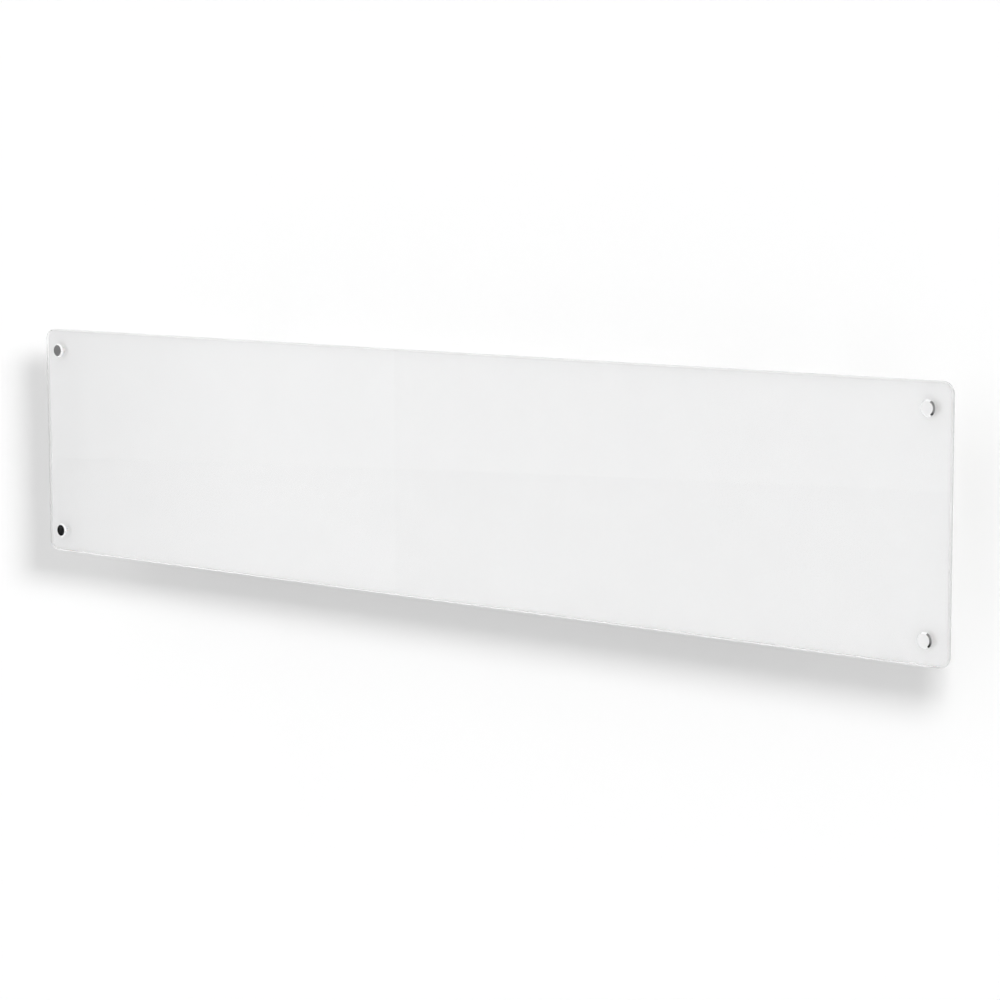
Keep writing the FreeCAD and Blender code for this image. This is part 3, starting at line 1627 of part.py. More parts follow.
def make_wall_upright(side):
    """A folded upright that screws to the wall, with two pairs of hooks for the casing's back."""
    body = start_body(f"wall_upright_{side}")
    profile = start_sketch(body, "XY_Plane")
    channel_outline(profile, "upright_width/2", "upright_depth")
    pad(body, profile, "upright_height", centred=True)
    bend_channel(body, "upright_width/2")
    dress_edges(
        body,
        "Fillet",
        "upright_round",
        lambda edge: along(edge, "X")
        and in_plane(edge, "Y", "-(upright_depth)")
        and at(abs(edge.BoundBox.ZMin), "upright_height/2"),
    )
    hooks = start_sketch(body, "YZ_Plane", "upright_width/2 - upright_thick")
    for seat in ("hook_seat", "-(hook_seat)"):
        hook_outline(hooks, seat)
    pad(body, hooks, "upright_thick")
    mirror(body, "YZ_Plane")

    holes = start_sketch(body, "XZ_Plane", "upright_thick + overrun")
    for level in LEVELS.values():
        add_circle(holes, "wall_hole_dia", "0", f"{level}(wall_screw_z)")
    pocket(body, holes, "upright_thick + 2*overrun")
    flange = "upright_width/2" if side == "left" else "upright_thick - upright_width/2"
    rivets = start_sketch(body, "YZ_Plane", f"{flange} + overrun")
    rivet_circles(rivets, "rivet_dia + 2*rivet_gap")
    pocket(body, rivets, "upright_thick + 2*overrun")
    place(body, f"{SIDES[side]}(upright_x)")


def rivet_circles(sketch, diameter):
    """A circle at each rivet of one rail tab."""
    for level in LEVELS.values():
        add_circle(sketch, diameter, "-(rivet_depth)", f"{level}(rivet_spacing/2)")


def make_tie_rail():
    """The rail that ties the uprights together at their spacing, riveted to their inner flanges."""
    rail = start_body("wall_tie_rail")
    profile = start_sketch(rail, "XY_Plane")
    channel_outline(profile, "rail_x", "rail_tab")
    pad(rail, profile, "rail_height", centred=True)
    bend_channel(rail, "rail_x")
    holes = start_sketch(rail, "YZ_Plane")
    rivet_circles(holes, "rivet_dia + 2*rivet_gap")
    pocket(rail, holes, centred=True)

    rivets = start_body("tie_rail_rivets")
    lengths = [
        ("rail_x - upright_thick - rivet_head", "rivet_head", "rivet_head_dia"),
        ("rail_x - upright_thick", "2*upright_thick", "rivet_dia"),
        ("rail_x + upright_thick", "rivet_head", "rivet_head_dia"),
    ]
    for offset, length, diameter in lengths:
        sketch = start_sketch(rivets, "YZ_Plane", offset)
        rivet_circles(sketch, diameter)
        pad(rivets, sketch, length)
    mirror(rivets, "YZ_Plane")


# The whole heater


def build_heater():
    """Builds every sub-part, from the glass back to the wall."""
    make_front_glass()
    make_white_backing()
    for level in LEVELS:
        for side in SIDES:
            make_corner_cap(level, side)
    make_corner_fixings()
    make_front_plate()
    make_rear_casing()
    for side in SIDES:
        make_end_cap(side)
    make_tapping_screws()
    make_outlet_grille()
    make_heating_element()
    make_heating_rod()
    for side in SIDES:
        make_element_support(side)
    make_heat_shield()
    make_thermal_cutout()
    make_control_bulkhead()
    make_wire_grommets()
    make_power_board()
    make_board_pieces()
    make_terminal_block()
    make_earth_screw()
    make_wires()
    make_control_fascia()
    make_display()
    make_buttons()
    make_rocker_housing()
    make_power_rocker()
    make_cable_gland()
    make_room_sensor()
    for side in SIDES:
        make_wall_upright(side)
    make_tie_rail()


def check_document():
    """Stops if any object failed or any sub-part is empty or not valid."""
    for item in doc.Objects:
        if {"Invalid", "Error"} & set(item.State):
            raise ValueError(f"{item.Label} failed")
    for item in parts:
        if item.Shape.isNull() or not item.Shape.isValid() or not item.Shape.Solids:
            raise ValueError(f"{item.Label} has no valid shape")


def write_parts():
    """Writes each sub-part's shape to its own file."""
    os.makedirs("parts", exist_ok=True)
    for item in parts:
        item.Shape.exportStep(f"parts/{item.Label}.step")
        print(item.Label, len(item.Shape.Solids), round(item.Shape.Volume, 1))


fill_sheet()
build_heater()
doc.recompute()
check_document()
write_parts()
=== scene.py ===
"""Glass panel heater: finishes, small fittings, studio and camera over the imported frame."""

import logging
import math
from dataclasses import dataclass, field
from enum import Enum

import bmesh
import bpy
from mathutils import Matrix, Vector


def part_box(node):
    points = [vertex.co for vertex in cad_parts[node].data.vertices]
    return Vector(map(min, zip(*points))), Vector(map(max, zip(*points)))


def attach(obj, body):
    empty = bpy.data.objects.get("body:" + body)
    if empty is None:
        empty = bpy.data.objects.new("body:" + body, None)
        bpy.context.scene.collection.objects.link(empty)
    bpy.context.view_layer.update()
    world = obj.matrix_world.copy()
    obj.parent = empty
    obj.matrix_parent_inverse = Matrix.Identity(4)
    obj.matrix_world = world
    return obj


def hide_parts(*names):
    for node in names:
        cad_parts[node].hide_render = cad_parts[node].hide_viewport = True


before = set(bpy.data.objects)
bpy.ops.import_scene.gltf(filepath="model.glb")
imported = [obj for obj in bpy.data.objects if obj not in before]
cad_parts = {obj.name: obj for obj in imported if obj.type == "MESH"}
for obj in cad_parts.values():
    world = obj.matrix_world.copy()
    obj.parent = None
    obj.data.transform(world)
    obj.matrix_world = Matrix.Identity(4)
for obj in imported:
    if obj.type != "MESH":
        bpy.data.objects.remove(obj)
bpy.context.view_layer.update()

LOG = logging.getLogger("heater")

Colour = tuple[float, float, float]
Triple = tuple[float, float, float]
Pairs = tuple[tuple[float, float], ...]
Inputs = dict[str | int, object]
Socket = bpy.types.NodeSocket
Shape = bmesh.types.BMesh

# A pattern with the same scale along X, Y and Z.
EVEN: Triple = (1.0, 1.0, 1.0)
# Noise keeps between about these two values.
NOISE_LOW = 0.3
NOISE_HIGH = 0.7
# Finer layers in the noise of clouds and of grain.
CLOUD_DETAIL = 5.0
FEATHER_DETAIL = 3.0
GRAIN_DETAIL = 2.0
# Faces that meet at less than this angle are shaded as one surface.
SHARP_ANGLE = math.radians(35.0)
# Heights that differ by less than this share of a turned piece's own count as level.
LEVEL_SHARE = 0.01


class Body(Enum):
    """The moving bodies that a new piece can ride on."""

    HEATER = "heater"
    ROCKER = "rocker"
    MINUS = "minus_key"
    PLUS = "plus_key"
    MODE = "mode_key"


class Side(Enum):
    """The side that a fastener's head faces."""

    REAR = Vector((0.0, 1.0, 0.0))
    FRONT = Vector((0.0, -1.0, 0.0))


class Segment(Enum):
    """A bar of a seven-part figure: its middle across and up, in half bars, and whether it stands."""

    TOP = (0, 2, False)
    UPPER_LEFT = (-1, 1, True)
    UPPER_RIGHT = (1, 1, True)
    MIDDLE = (0, 0, False)
    LOWER_LEFT = (-1, -1, True)
    LOWER_RIGHT = (1, -1, True)
    FOOT = (0, -2, False)


class NodeSheet:
    """The nodes of a material, a lamp or the world, with short calls for what they share."""

    def __init__(self, tree: bpy.types.NodeTree) -> None:
        """Take up a node tree."""
        self.nodes = tree.nodes
        self.links = tree.links

    def add(self, kind: str, inputs: Inputs | None = None, **settings: object) -> bpy.types.Node:
        """Add a shader node.

        Args:
            kind: The node's type without its prefix.
            inputs: A socket to link from, or a plain value, for each input by name or number.
            **settings: The node's own properties.

        Returns:
            The new node.
        """
        node = self.nodes.new(f"ShaderNode{kind}")
        for name, value in settings.items():
            setattr(node, name, value)
        self.feed(node, inputs or {})
        return node

    def feed(self, node: bpy.types.Node, inputs: Inputs) -> None:
        """Link or set a node's inputs.

        Args:
            node: The node.
            inputs: A socket to link from, or a plain value, for each input by name or number.
        """
        for name, value in inputs.items():
            if isinstance(value, Socket):
                self.links.new(value, node.inputs[name])
            else:
                node.inputs[name].default_value = value

    def place(self, stretch: Triple = EVEN) -> Socket:
        """Object coordinates, stretched along X, Y and Z."""
        coords = self.add("TexCoord").outputs["Object"]
        return self.add("Mapping", {"Vector": coords, "Scale": stretch}).outputs["Vector"]

    def noise(self, scale: float, detail: float, stretch: Triple = EVEN) -> Socket:
        """Cloudy noise from about 0.3 to 0.7.

        Args:
            scale: Clouds to a metre.
            detail: How many finer layers are added.
            stretch: Further scale along X, Y and Z.

        Returns:
            The noise's factor.
        """
        clouds = {"Vector": self.place(stretch), "Scale": scale, "Detail": detail}
        return self.add("TexNoise", clouds).outputs["Fac"]

    def shades(
        self, factor: Socket, low: Colour, high: Colour, start: float = NOISE_LOW, end: float = NOISE_HIGH
    ) -> Socket:
        """Blend two colours by a factor.

        Args:
            factor: What drives the blend.
            low: The colour at the start.
            high: The colour at the end.
            start: The factor at which the blend starts.
            end: The factor at which it ends.

        Returns:
            The colour.
        """
        node = self.add("ValToRGB", {"Fac": factor})
        first, last = node.color_ramp.elements
        first.position, first.color = start, (*low, 1.0)
        last.position, last.color = end, (*high, 1.0)
        return node.outputs["Color"]

    def span(
        self, factor: Socket, low: float, high: float, start: float = NOISE_LOW, end: float = NOISE_HIGH
    ) -> Socket:
        """Map a factor to a range of numbers.

        Args:
            factor: The number that is mapped.
            low: The result at the start.
            high: The result at the end.
            start: The factor at which the range starts.
            end: The factor at which it ends.

        Returns:
            The mapped number.
        """
        limits = {"Value": factor, "From Min": start, "From Max": end, "To Min": low, "To Max": high}
        return self.add("MapRange", limits).outputs["Result"]

    def maths(self, how: str, first: object, second: object = 0.0) -> Socket:
        """Join two numbers or sockets by an operation."""
        return self.add("Math", {0: first, 1: second}, operation=how).outputs["Value"]

    def bump(self, height: Socket, depth: float) -> Socket:
        """Turn a height into a bent normal, with the depth in metres."""
        return self.add("Bump", {"Height": height, "Distance": depth}).outputs["Normal"]

    def any_ray(self, *kinds: str) -> Socket:
        """One where the ray is of any of these kinds, and zero elsewhere.

        Args:
            *kinds: Names of outputs of the Light Path node.

        Returns:
            The factor.
        """
        path = self.add("LightPath")
        found = path.outputs[kinds[0]]
        for kind in kinds[1:]:
            found = self.maths("MAXIMUM", found, path.outputs[kind])
        return found


class PaintSheet(NodeSheet):
    """The nodes of a new material with one Principled shader."""

    def __init__(self, name: str) -> None:
        """Start the material.

        Args:
            name: The material's name.
        """
        self.material = bpy.data.materials.new(name)
        self.material.use_nodes = True
        super().__init__(self.material.node_tree)
        self.shader = self.nodes["Principled BSDF"]
        self.output = self.nodes["Material Output"]


@dataclass(frozen=True)
class Finish:
    """A plain coat or metal: slightly cloudy colour, uneven gloss and a fine texture.

    Attributes:
        name: The material's name.
        colour: The middle colour.
        gloss: Lowest and highest roughness.
        metallic: One for bare metal.
        cloud: How much lighter and darker the colour gets.
        grain: Bumps to a metre.
        depth: The bumps' depth in metres.
        stretch: Further scale of the grain along X, Y and Z, for drawn or brushed surfaces.
        coat: Weight of a clear gloss layer.
        glow: Weight of the light that spreads inside a translucent body.
        glow_depth: Scale of that spread in metres.
        clouds: Clouds of colour to a metre.
    """

    name: str
    colour: Colour
    gloss: tuple[float, float] = (0.4, 0.5)
    metallic: float = 0.0
    cloud: float = 0.03
    grain: float = 1400.0
    depth: float = 0.00003
    stretch: Triple = EVEN
    coat: float = 0.0
    glow: float = 0.0
    glow_depth: float = 0.004
    clouds: float = 22.0

    def build(self) -> bpy.types.Material:
        """Make the material.

        Returns:
            The material.
        """
        sheet = PaintSheet(self.name)
        sheet.feed(sheet.shader, self.constants())
        self.paint(sheet)
        return sheet.material

    def constants(self) -> Inputs:
        """Gather what is the same all over the surface.

        Returns:
            A plain value for each of the shader's inputs, by name.
        """
        values = {"Metallic": self.metallic, "Coat Weight": self.coat}
        if self.glow:
            values |= {"Subsurface Weight": self.glow, "Subsurface Scale": self.glow_depth}
        return values

    def paint(self, sheet: PaintSheet) -> None:
        """Add the colour, gloss and texture.

        Args:
            sheet: The material's nodes.
        """
        low, high = self.tints()
        clouds = sheet.noise(self.clouds, CLOUD_DETAIL)
        grain = sheet.noise(self.grain, GRAIN_DETAIL, self.stretch)
        sheet.feed(
            sheet.shader,
            {
                "Base Color": sheet.shades(clouds, low, high),
                "Roughness": sheet.span(grain, *self.gloss),
                "Normal": sheet.bump(grain, self.depth),
            },
        )

    def tints(self) -> tuple[Colour, Colour]:
        """The darker and lighter shade of the colour.

        Returns:
            The two shades.
        """
        darker = tuple(c * (1 - self.cloud) for c in self.colour)
        lighter = tuple(min(1.0, c * (1 + self.cloud)) for c in self.colour)
        return darker, lighter


@dataclass(frozen=True)
class ClearGlass(Finish):
    """Toughened clear glass, polished on its faces and ground matt along its edges.

    Attributes:
        edge_gloss: Lowest and highest roughness of the ground edge.
        edge_grain: Grains of the ground edge to a metre.
        edge_tint: How much of the light the ground edge lets in.
        tint_slopes: How far a surface faces forward or back where that tint starts to go, and where it is gone.
        face_slope: How far a surface faces forward or back from which it is polished.
        polish_clouds: Uneven spots of the polish to a metre.
        polish_detail: Finer layers in those spots.
        bend: Index of refraction.
    """

    edge_gloss: tuple[float, float] = (0.256, 0.384)
    edge_grain: float = 1600.0
    edge_tint: float = 0.55
    tint_slopes: tuple[float, float] = (0.35, 0.4)
    face_slope: float = 0.8
    polish_clouds: float = 9.0
    polish_detail: float = 4.0
    bend: float = 1.5

    def build(self) -> bpy.types.Material:
        """Make the material, which lets lamp light through and joins the enamel without an air gap.

        Returns:
            The material.
        """
        sheet = PaintSheet(self.name)
        sheet.feed(sheet.shader, {"Transmission Weight": 1.0, "IOR": self.bend})
        normal = sheet.add("NewGeometry").outputs["Normal"]
        rearward = sheet.add("SeparateXYZ", {"Vector": normal}).outputs["Y"]
        slope = sheet.maths("ABSOLUTE", rearward)
        edge_colour = tuple(self.edge_tint * c for c in self.colour)
        tint = sheet.shades(slope, edge_colour, self.colour, *self.tint_slopes)
        edge = sheet.maths("LESS_THAN", slope, self.face_slope)
        ground = sheet.span(sheet.noise(self.edge_grain, GRAIN_DETAIL), *self.edge_gloss)
        polish = sheet.span(sheet.noise(self.polish_clouds, self.polish_detail), *self.gloss)
        rough = sheet.add("Mix", {"Factor": edge, 2: polish, 3: ground}, data_type="FLOAT").outputs[0]
        sheet.feed(sheet.shader, {"Base Color": tint, "Roughness": rough})
        clear = sheet.add("BsdfTransparent").outputs["BSDF"]
        coated = sheet.maths("GREATER_THAN", rearward, self.face_slope)
        through = sheet.maths("MAXIMUM", sheet.any_ray("Is Shadow Ray"), coated)
        shade = {"Fac": through, 1: sheet.shader.outputs["BSDF"], 2: clear}
        sheet.feed(sheet.output, {"Surface": sheet.add("MixShader", shade).outputs["Shader"]})
        return sheet.material


@dataclass(frozen=True)
class SmokedWindow(Finish):
    """Dark see-through plastic with fine polish marks.

    Attributes:
        clearness: Share of the light that goes through.
        bend: Index of refraction.
    """

    clearness: float = 0.85
    bend: float = 1.49

    def constants(self) -> Inputs:
        """The shader's plain values, with those that let light through."""
        return super().constants() | {"Transmission Weight": self.clearness, "IOR": self.bend}


@dataclass(frozen=True)
class LitSegments(Finish):
    """Milky plastic that is lit from behind.

    Attributes:
        light: Strength of the light.
    """

    light: float = 7.0

    def constants(self) -> Inputs:
        """The shader's plain values, with those of its light."""
        lit = {"Emission Color": (*self.colour, 1.0), "Emission Strength": self.light}
        return super().constants() | lit


@dataclass(frozen=True)
class SpangledZinc(Finish):
    """Hot-dipped sheet steel, whose zinc freezes in feathery patches.

    Attributes:
        patches: Patches to a metre.
        wander: Wobbles of the patches' edges to a metre.
        wander_share: How far the edges wobble, as a share of the noise.
        step: What a patch adds to the height, as a share of the feathers' own.
        blend: Where the blend between the two shades starts and ends.
    """

    patches: float = 140.0
    wander: float = 260.0
    wander_share: float = 0.012
    step: float = 0.4
    blend: tuple[float, float] = (0.1, 0.9)

    def paint(self, sheet: PaintSheet) -> None:
        """Add the patches.

        Args:
            sheet: The material's nodes.
        """
        low, high = self.tints()
        wobble = {"Vector": sheet.place(), "Scale": self.wander, "Detail": FEATHER_DETAIL}
        wander = sheet.add("TexNoise", wobble).outputs["Color"]
        mixed = {"Factor": self.wander_share, 4: sheet.place(), 5: wander}
        bent = sheet.add("Mix", mixed, data_type="VECTOR").outputs[1]
        cells = sheet.add("TexVoronoi", {"Vector": bent, "Scale": self.patches})
        shade = sheet.add("SeparateColor", {"Color": cells.outputs["Color"]}).outputs["Red"]
        feather = sheet.noise(self.grain, FEATHER_DETAIL, self.stretch)
        height = sheet.maths("ADD", sheet.maths("MULTIPLY", shade, self.step), feather)
        sheet.feed(
            sheet.shader,
            {
                "Base Color": sheet.shades(shade, low, high, *self.blend),
                "Roughness": sheet.span(shade, *self.gloss, 0.0, 1.0),
                "Normal": sheet.bump(height, self.depth),
            },
        )


@dataclass(frozen=True)
class CrinkledFoil(Finish):
    """Bright foil-faced sheet with shallow creases.

    Attributes:
        creases: Creases to a metre.
        crease_detail: Finer layers in the clouds between them.
    """

    creases: float = 60.0
    crease_detail: float = 4.0

    def paint(self, sheet: PaintSheet) -> None:
        """Add the creases.

        Args:
            sheet: The material's nodes.
        """
        low, high = self.tints()
        cells = sheet.add(
            "TexVoronoi", {"Vector": sheet.place(), "Scale": self.creases}, feature="DISTANCE_TO_EDGE"
        ).outputs["Distance"]
        clouds = sheet.noise(self.creases, self.crease_detail)
        sheet.feed(
            sheet.shader,
            {
                "Base Color": sheet.shades(clouds, low, high),
                "Roughness": sheet.span(clouds, *self.gloss),
                "Normal": sheet.bump(sheet.maths("ADD", cells, clouds), self.depth),
            },
        )


@dataclass(frozen=True)
class PrintedBoard(Finish):
    """Green board with copper tracks that show through the mask.

    Attributes:
        track: The colour over the copper.
        tracks: Tracks to a metre.
        winding: How far the tracks wind.
        winding_detail: Finer layers in the winding.
        winding_scale: How much finer each layer is.
        track_edges: Where the blend into a track's colour starts and ends.
        track_level: Where a track starts to stand proud.
    """

    track: Colour = (0.05, 0.32, 0.13)
    tracks: float = 55.0
    winding: float = 5.0
    winding_detail: float = 1.0
    winding_scale: float = 1.5
    track_edges: tuple[float, float] = (0.62, 0.68)
    track_level: float = 0.65

    def paint(self, sheet: PaintSheet) -> None:
        """Add the tracks.

        Args:
            sheet: The material's nodes.
        """
        wave = {
            "Vector": sheet.place(),
            "Scale": self.tracks,
            "Distortion": self.winding,
            "Detail": self.winding_detail,
            "Detail Scale": self.winding_scale,
        }
        lines = sheet.add("TexWave", wave, bands_direction="DIAGONAL").outputs["Fac"]
        grain = sheet.noise(self.grain, GRAIN_DETAIL)
        proud = sheet.maths("GREATER_THAN", lines, self.track_level)
        sheet.feed(
            sheet.shader,
            {
                "Base Color": sheet.shades(lines, self.colour, self.track, *self.track_edges),
                "Roughness": sheet.span(grain, *self.gloss),
                "Normal": sheet.bump(sheet.maths("ADD", proud, grain), self.depth),
            },
        )


@dataclass(frozen=True)
class BandedSleeve(Finish):
    """Wrapped tape or striped insulation.

    Attributes:
        band: The second colour.
        bands: Bands to a metre.
        edges: Where the blend between the two colours starts and ends.
        step: What a band adds to the height, as a share of the grain's own.
    """

    band: Colour = (0.55, 0.45, 0.02)
    bands: float = 40.0
    edges: tuple[float, float] = (0.48, 0.52)
    step: float = 0.3

    def paint(self, sheet: PaintSheet) -> None:
        """Add the bands.

        Args:
            sheet: The material's nodes.
        """
        wave = {"Vector": sheet.place(self.stretch), "Scale": self.bands}
        lines = sheet.add("TexWave", wave, bands_direction="DIAGONAL").outputs["Fac"]
        grain = sheet.noise(self.grain, GRAIN_DETAIL)
        proud = sheet.maths("MULTIPLY", lines, self.step)
        sheet.feed(
            sheet.shader,
            {
                "Base Color": sheet.shades(lines, self.colour, self.band, *self.edges),
                "Roughness": sheet.span(grain, *self.gloss),
                "Normal": sheet.bump(sheet.maths("ADD", proud, grain), self.depth),
            },
        )


# What the shader's metallic input gets for bare metal.
METAL = 1.0

CLEAR_GLASS = ClearGlass("clear_glass", (1.0, 1.0, 1.0), (0.0, 0.012))
WHITE_ENAMEL = Finish(
    "white_enamel", (0.9, 0.902, 0.904), (0.16, 0.24), cloud=0.006, grain=700.0, depth=0.000008
)
CHROME = Finish(
    "chrome_plate", (0.955, 0.955, 0.96), (0.02, 0.06), METAL, cloud=0.01, grain=420.0, depth=0.0000006
)
WHITE_STEEL = Finish(
    "white_powder_coat", (0.8, 0.8, 0.795), (0.36, 0.48), cloud=0.012, grain=1500.0, depth=0.00005
)
GRILLE_WHITE = Finish(
    "grille_powder_coat", (0.8, 0.8, 0.795), (0.4, 0.52), cloud=0.012, grain=1800.0, depth=0.00005
)
WHITE_PLASTIC = Finish(
    "white_moulding", (0.75, 0.75, 0.74), (0.42, 0.55), cloud=0.01, grain=2400.0, depth=0.00004
)
GREY_PLASTIC = Finish(
    "grey_keys", (0.52, 0.53, 0.54), (0.4, 0.52), cloud=0.015, grain=2400.0, depth=0.00003
)
BLACK_PLASTIC = Finish(
    "black_moulding", (0.02, 0.02, 0.021), (0.4, 0.55), cloud=0.08, grain=2200.0, depth=0.00004
)
ROCKER_PLASTIC = Finish(
    "glossy_rocker", (0.018, 0.018, 0.019), (0.16, 0.24), cloud=0.08, grain=900.0, depth=0.000006
)
SMOKED = SmokedWindow(
    "smoked_window", (0.11, 0.11, 0.12), (0.03, 0.07), cloud=0.04, grain=800.0, depth=0.000002
)
ZINC = SpangledZinc(
    "spangled_zinc", (0.62, 0.63, 0.64), (0.3, 0.46), METAL, cloud=0.13, grain=900.0, depth=0.00002
)
SCREW_ZINC = Finish(
    "plated_screws", (0.66, 0.66, 0.65), (0.24, 0.36), METAL, cloud=0.05, grain=2600.0, depth=0.00001
)
TURNED = Finish(
    "turned_aluminium",
    (0.74, 0.74, 0.745),
    (0.24, 0.36),
    METAL,
    grain=900.0,
    depth=0.00001,
    stretch=(0.2, 6.0, 0.2),
)
FOIL = CrinkledFoil("bright_foil", (0.78, 0.785, 0.79), (0.16, 0.3), METAL, cloud=0.04, depth=0.0006)
FINS = Finish(
    "dark_fins",
    (0.2, 0.2, 0.21),
    (0.36, 0.5),
    METAL,
    cloud=0.14,
    grain=700.0,
    depth=0.00002,
    stretch=(0.15, 1.0, 1.0),
)
SHEATH = Finish(
    "rod_sheath",
    (0.42, 0.4, 0.38),
    (0.3, 0.44),
    METAL,
    cloud=0.12,
    grain=900.0,
    depth=0.00002,
    stretch=(0.08, 1.0, 1.0),
)
CERAMIC = Finish("white_ceramic", (0.8, 0.78, 0.73), (0.6, 0.75), cloud=0.05, grain=1900.0, depth=0.00008)
SILICONE = Finish("clear_silicone", (0.72, 0.72, 0.7), (0.3, 0.42), grain=1200.0, depth=0.00002, glow=0.6)
NYLON = Finish("natural_nylon", (0.74, 0.72, 0.66), (0.36, 0.48), grain=1300.0, depth=0.00003, glow=0.35)
IVORY = Finish("ivory_moulding", (0.66, 0.6, 0.47), (0.4, 0.52), grain=1800.0, depth=0.00004)
BOARD = PrintedBoard(
    "green_board", (0.02, 0.17, 0.065), (0.24, 0.36), grain=1500.0, depth=0.00003, coat=0.2
)
TAPE = BandedSleeve(
    "coil_tape",
    (0.6, 0.42, 0.05),
    (0.26, 0.4),
    grain=900.0,
    depth=0.00006,
    band=(0.5, 0.33, 0.03),
    bands=90.0,
)
SLEEVE = Finish(
    "shrink_sleeve", (0.025, 0.03, 0.05), (0.2, 0.32), cloud=0.1, grain=900.0, depth=0.00002, coat=0.3
)
BROWN_LEAD = Finish(
    "brown_insulation", (0.14, 0.06, 0.025), (0.38, 0.5), cloud=0.06, grain=1500.0, depth=0.00003
)
BLUE_LEAD = Finish(
    "blue_insulation", (0.03, 0.1, 0.4), (0.38, 0.5), cloud=0.06, grain=1500.0, depth=0.00003
)
EARTH_LEAD = BandedSleeve(
    "earth_insulation", (0.04, 0.26, 0.05), (0.38, 0.5), grain=1500.0, stretch=(1.0, 0.2, 1.0)
)
FIGURES = LitSegments(
    "lit_figures", (0.85, 0.93, 1.0), (0.3, 0.4), cloud=0.02, grain=1800.0, depth=0.00001
)
MARK_PRINT = Finish(
    "mark_print", (0.05, 0.05, 0.055), (0.5, 0.6), cloud=0.1, grain=2600.0, depth=0.00001
)
PALE_PRINT = Finish(
    "pale_print", (0.75, 0.75, 0.74), (0.5, 0.6), cloud=0.03, grain=2600.0, depth=0.00001
)


class Palette:
    """Makes each finish once and hands its material out."""

    def __init__(self) -> None:
        """Start with no materials made."""
        self.made: dict[str, bpy.types.Material] = {}

    def material(self, finish: Finish) -> bpy.types.Material:
        """Hand out a finish's material, made on first use.

        Args:
            finish: The finish.

        Returns:
            The material.
        """
        if finish.name not in self.made:
            self.made[finish.name] = finish.build()
        return self.made[finish.name]


@dataclass
class Assembly:
    """What every sub-assembly can do: dress its CAD nodes and add pieces of its own.

    Attributes:
        palette: Where the materials come from.
    """

    palette: Palette

    def dress(self, finish: Finish, *nodes: str) -> None:
        """Give CAD nodes a finish.

        Args:
            finish: The finish.
            *nodes: The nodes' names.
        """
        for name in nodes:
            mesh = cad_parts[name].data
            mesh.materials.clear()
            mesh.materials.append(self.palette.material(finish))
            LOG.info("%s dressed in %s", name, finish.name)

    def add_piece(
        self, name: str, shape: Shape, finish: Finish, slot: str, body: Body, *nodes: str
    ) -> bpy.types.Object:
        """Turn a shape into a piece of the heater.

        Args:
            name: The piece's name.
            shape: The shape, in place. It is freed.
            finish: The finish.
            slot: Name of the material slot that the finish stands for; not used.
            body: The body that the piece rides on.
            *nodes: The CAD nodes that the piece stands for, if any.

        Returns:
            The piece's object.
        """
        bmesh.ops.recalc_face_normals(shape, faces=shape.faces)
        mesh = bpy.data.meshes.new(name)
        shape.to_mesh(mesh)
        shape.free()
        mesh.polygons.foreach_set("use_smooth", [True] * len(mesh.polygons))
        mesh.set_sharp_from_angle(angle=SHARP_ANGLE)
        mesh.materials.append(self.palette.material(finish))
        piece = bpy.data.objects.new(name, mesh)
        bpy.context.scene.collection.objects.link(piece)
        piece.modifiers.new("flat_faces", "WEIGHTED_NORMAL").keep_sharp = True
        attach(piece, body.value)
        if nodes:
            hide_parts(*nodes)
        LOG.info("%s made in %s, %d faces", name, finish.name, len(mesh.polygons))
        return piece


def facing(direction: Vector, centre: Vector) -> Matrix:
    """The matrix that puts a shape at a centre with its Z axis along a direction."""
    return Matrix.Translation(centre) @ direction.to_track_quat("Z", "Y").to_matrix().to_4x4()


def points_of(geometry: list[object]) -> list[bmesh.types.BMVert]:
    """The points among an operator's results."""
    return [item for item in geometry if isinstance(item, bmesh.types.BMVert)]


def edges_of(geometry: list[object]) -> list[bmesh.types.BMEdge]:
    """The edges among an operator's results."""
    return [item for item in geometry if isinstance(item, bmesh.types.BMEdge)]


def turn(shape: Shape, section: Pairs, steps: int, closed: bool = False) -> None:
    """Turn a section round the Z axis.

    Args:
        shape: The shape that gets it.
        section: Radius and height of the section's points.
        steps: Sides of its circle.
        closed: Whether the last point joins the first.
    """
    points = [shape.verts.new((radius, 0, height)) for radius, height in section]
    ends = points[1:] + points[:1] if closed else points[1:]
    edges = [shape.edges.new(pair) for pair in zip(points, ends)]
    bmesh.ops.spin(
        shape,
        geom=points + edges,
        axis=(0, 0, 1),
        cent=(0, 0, 0),
        angle=math.tau,
        steps=steps,
        use_merge=True,
    )


def round_off(shape: Shape, edges: list[bmesh.types.BMEdge], width: float, steps: int = 1) -> None:
    """Bevel edges of a shape.

    Args:
        shape: The shape.
        edges: The edges.
        width: Width of the bevel.
        steps: Its segments, one for a flat bevel.
    """
    bmesh.ops.bevel(shape, geom=edges, offset=width, segments=steps, profile=0.5, affect="EDGES", material=-1)


def node_middle(name: str) -> Vector:
    """The middle of a CAD node's box."""
    low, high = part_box(name)
    return (low + high) / 2


def node_top(node: str) -> Vector:
    """The middle of the top of a CAD node's box."""
    middle = node_middle(node)
    return Vector((middle.x, middle.y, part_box(node)[1].z))


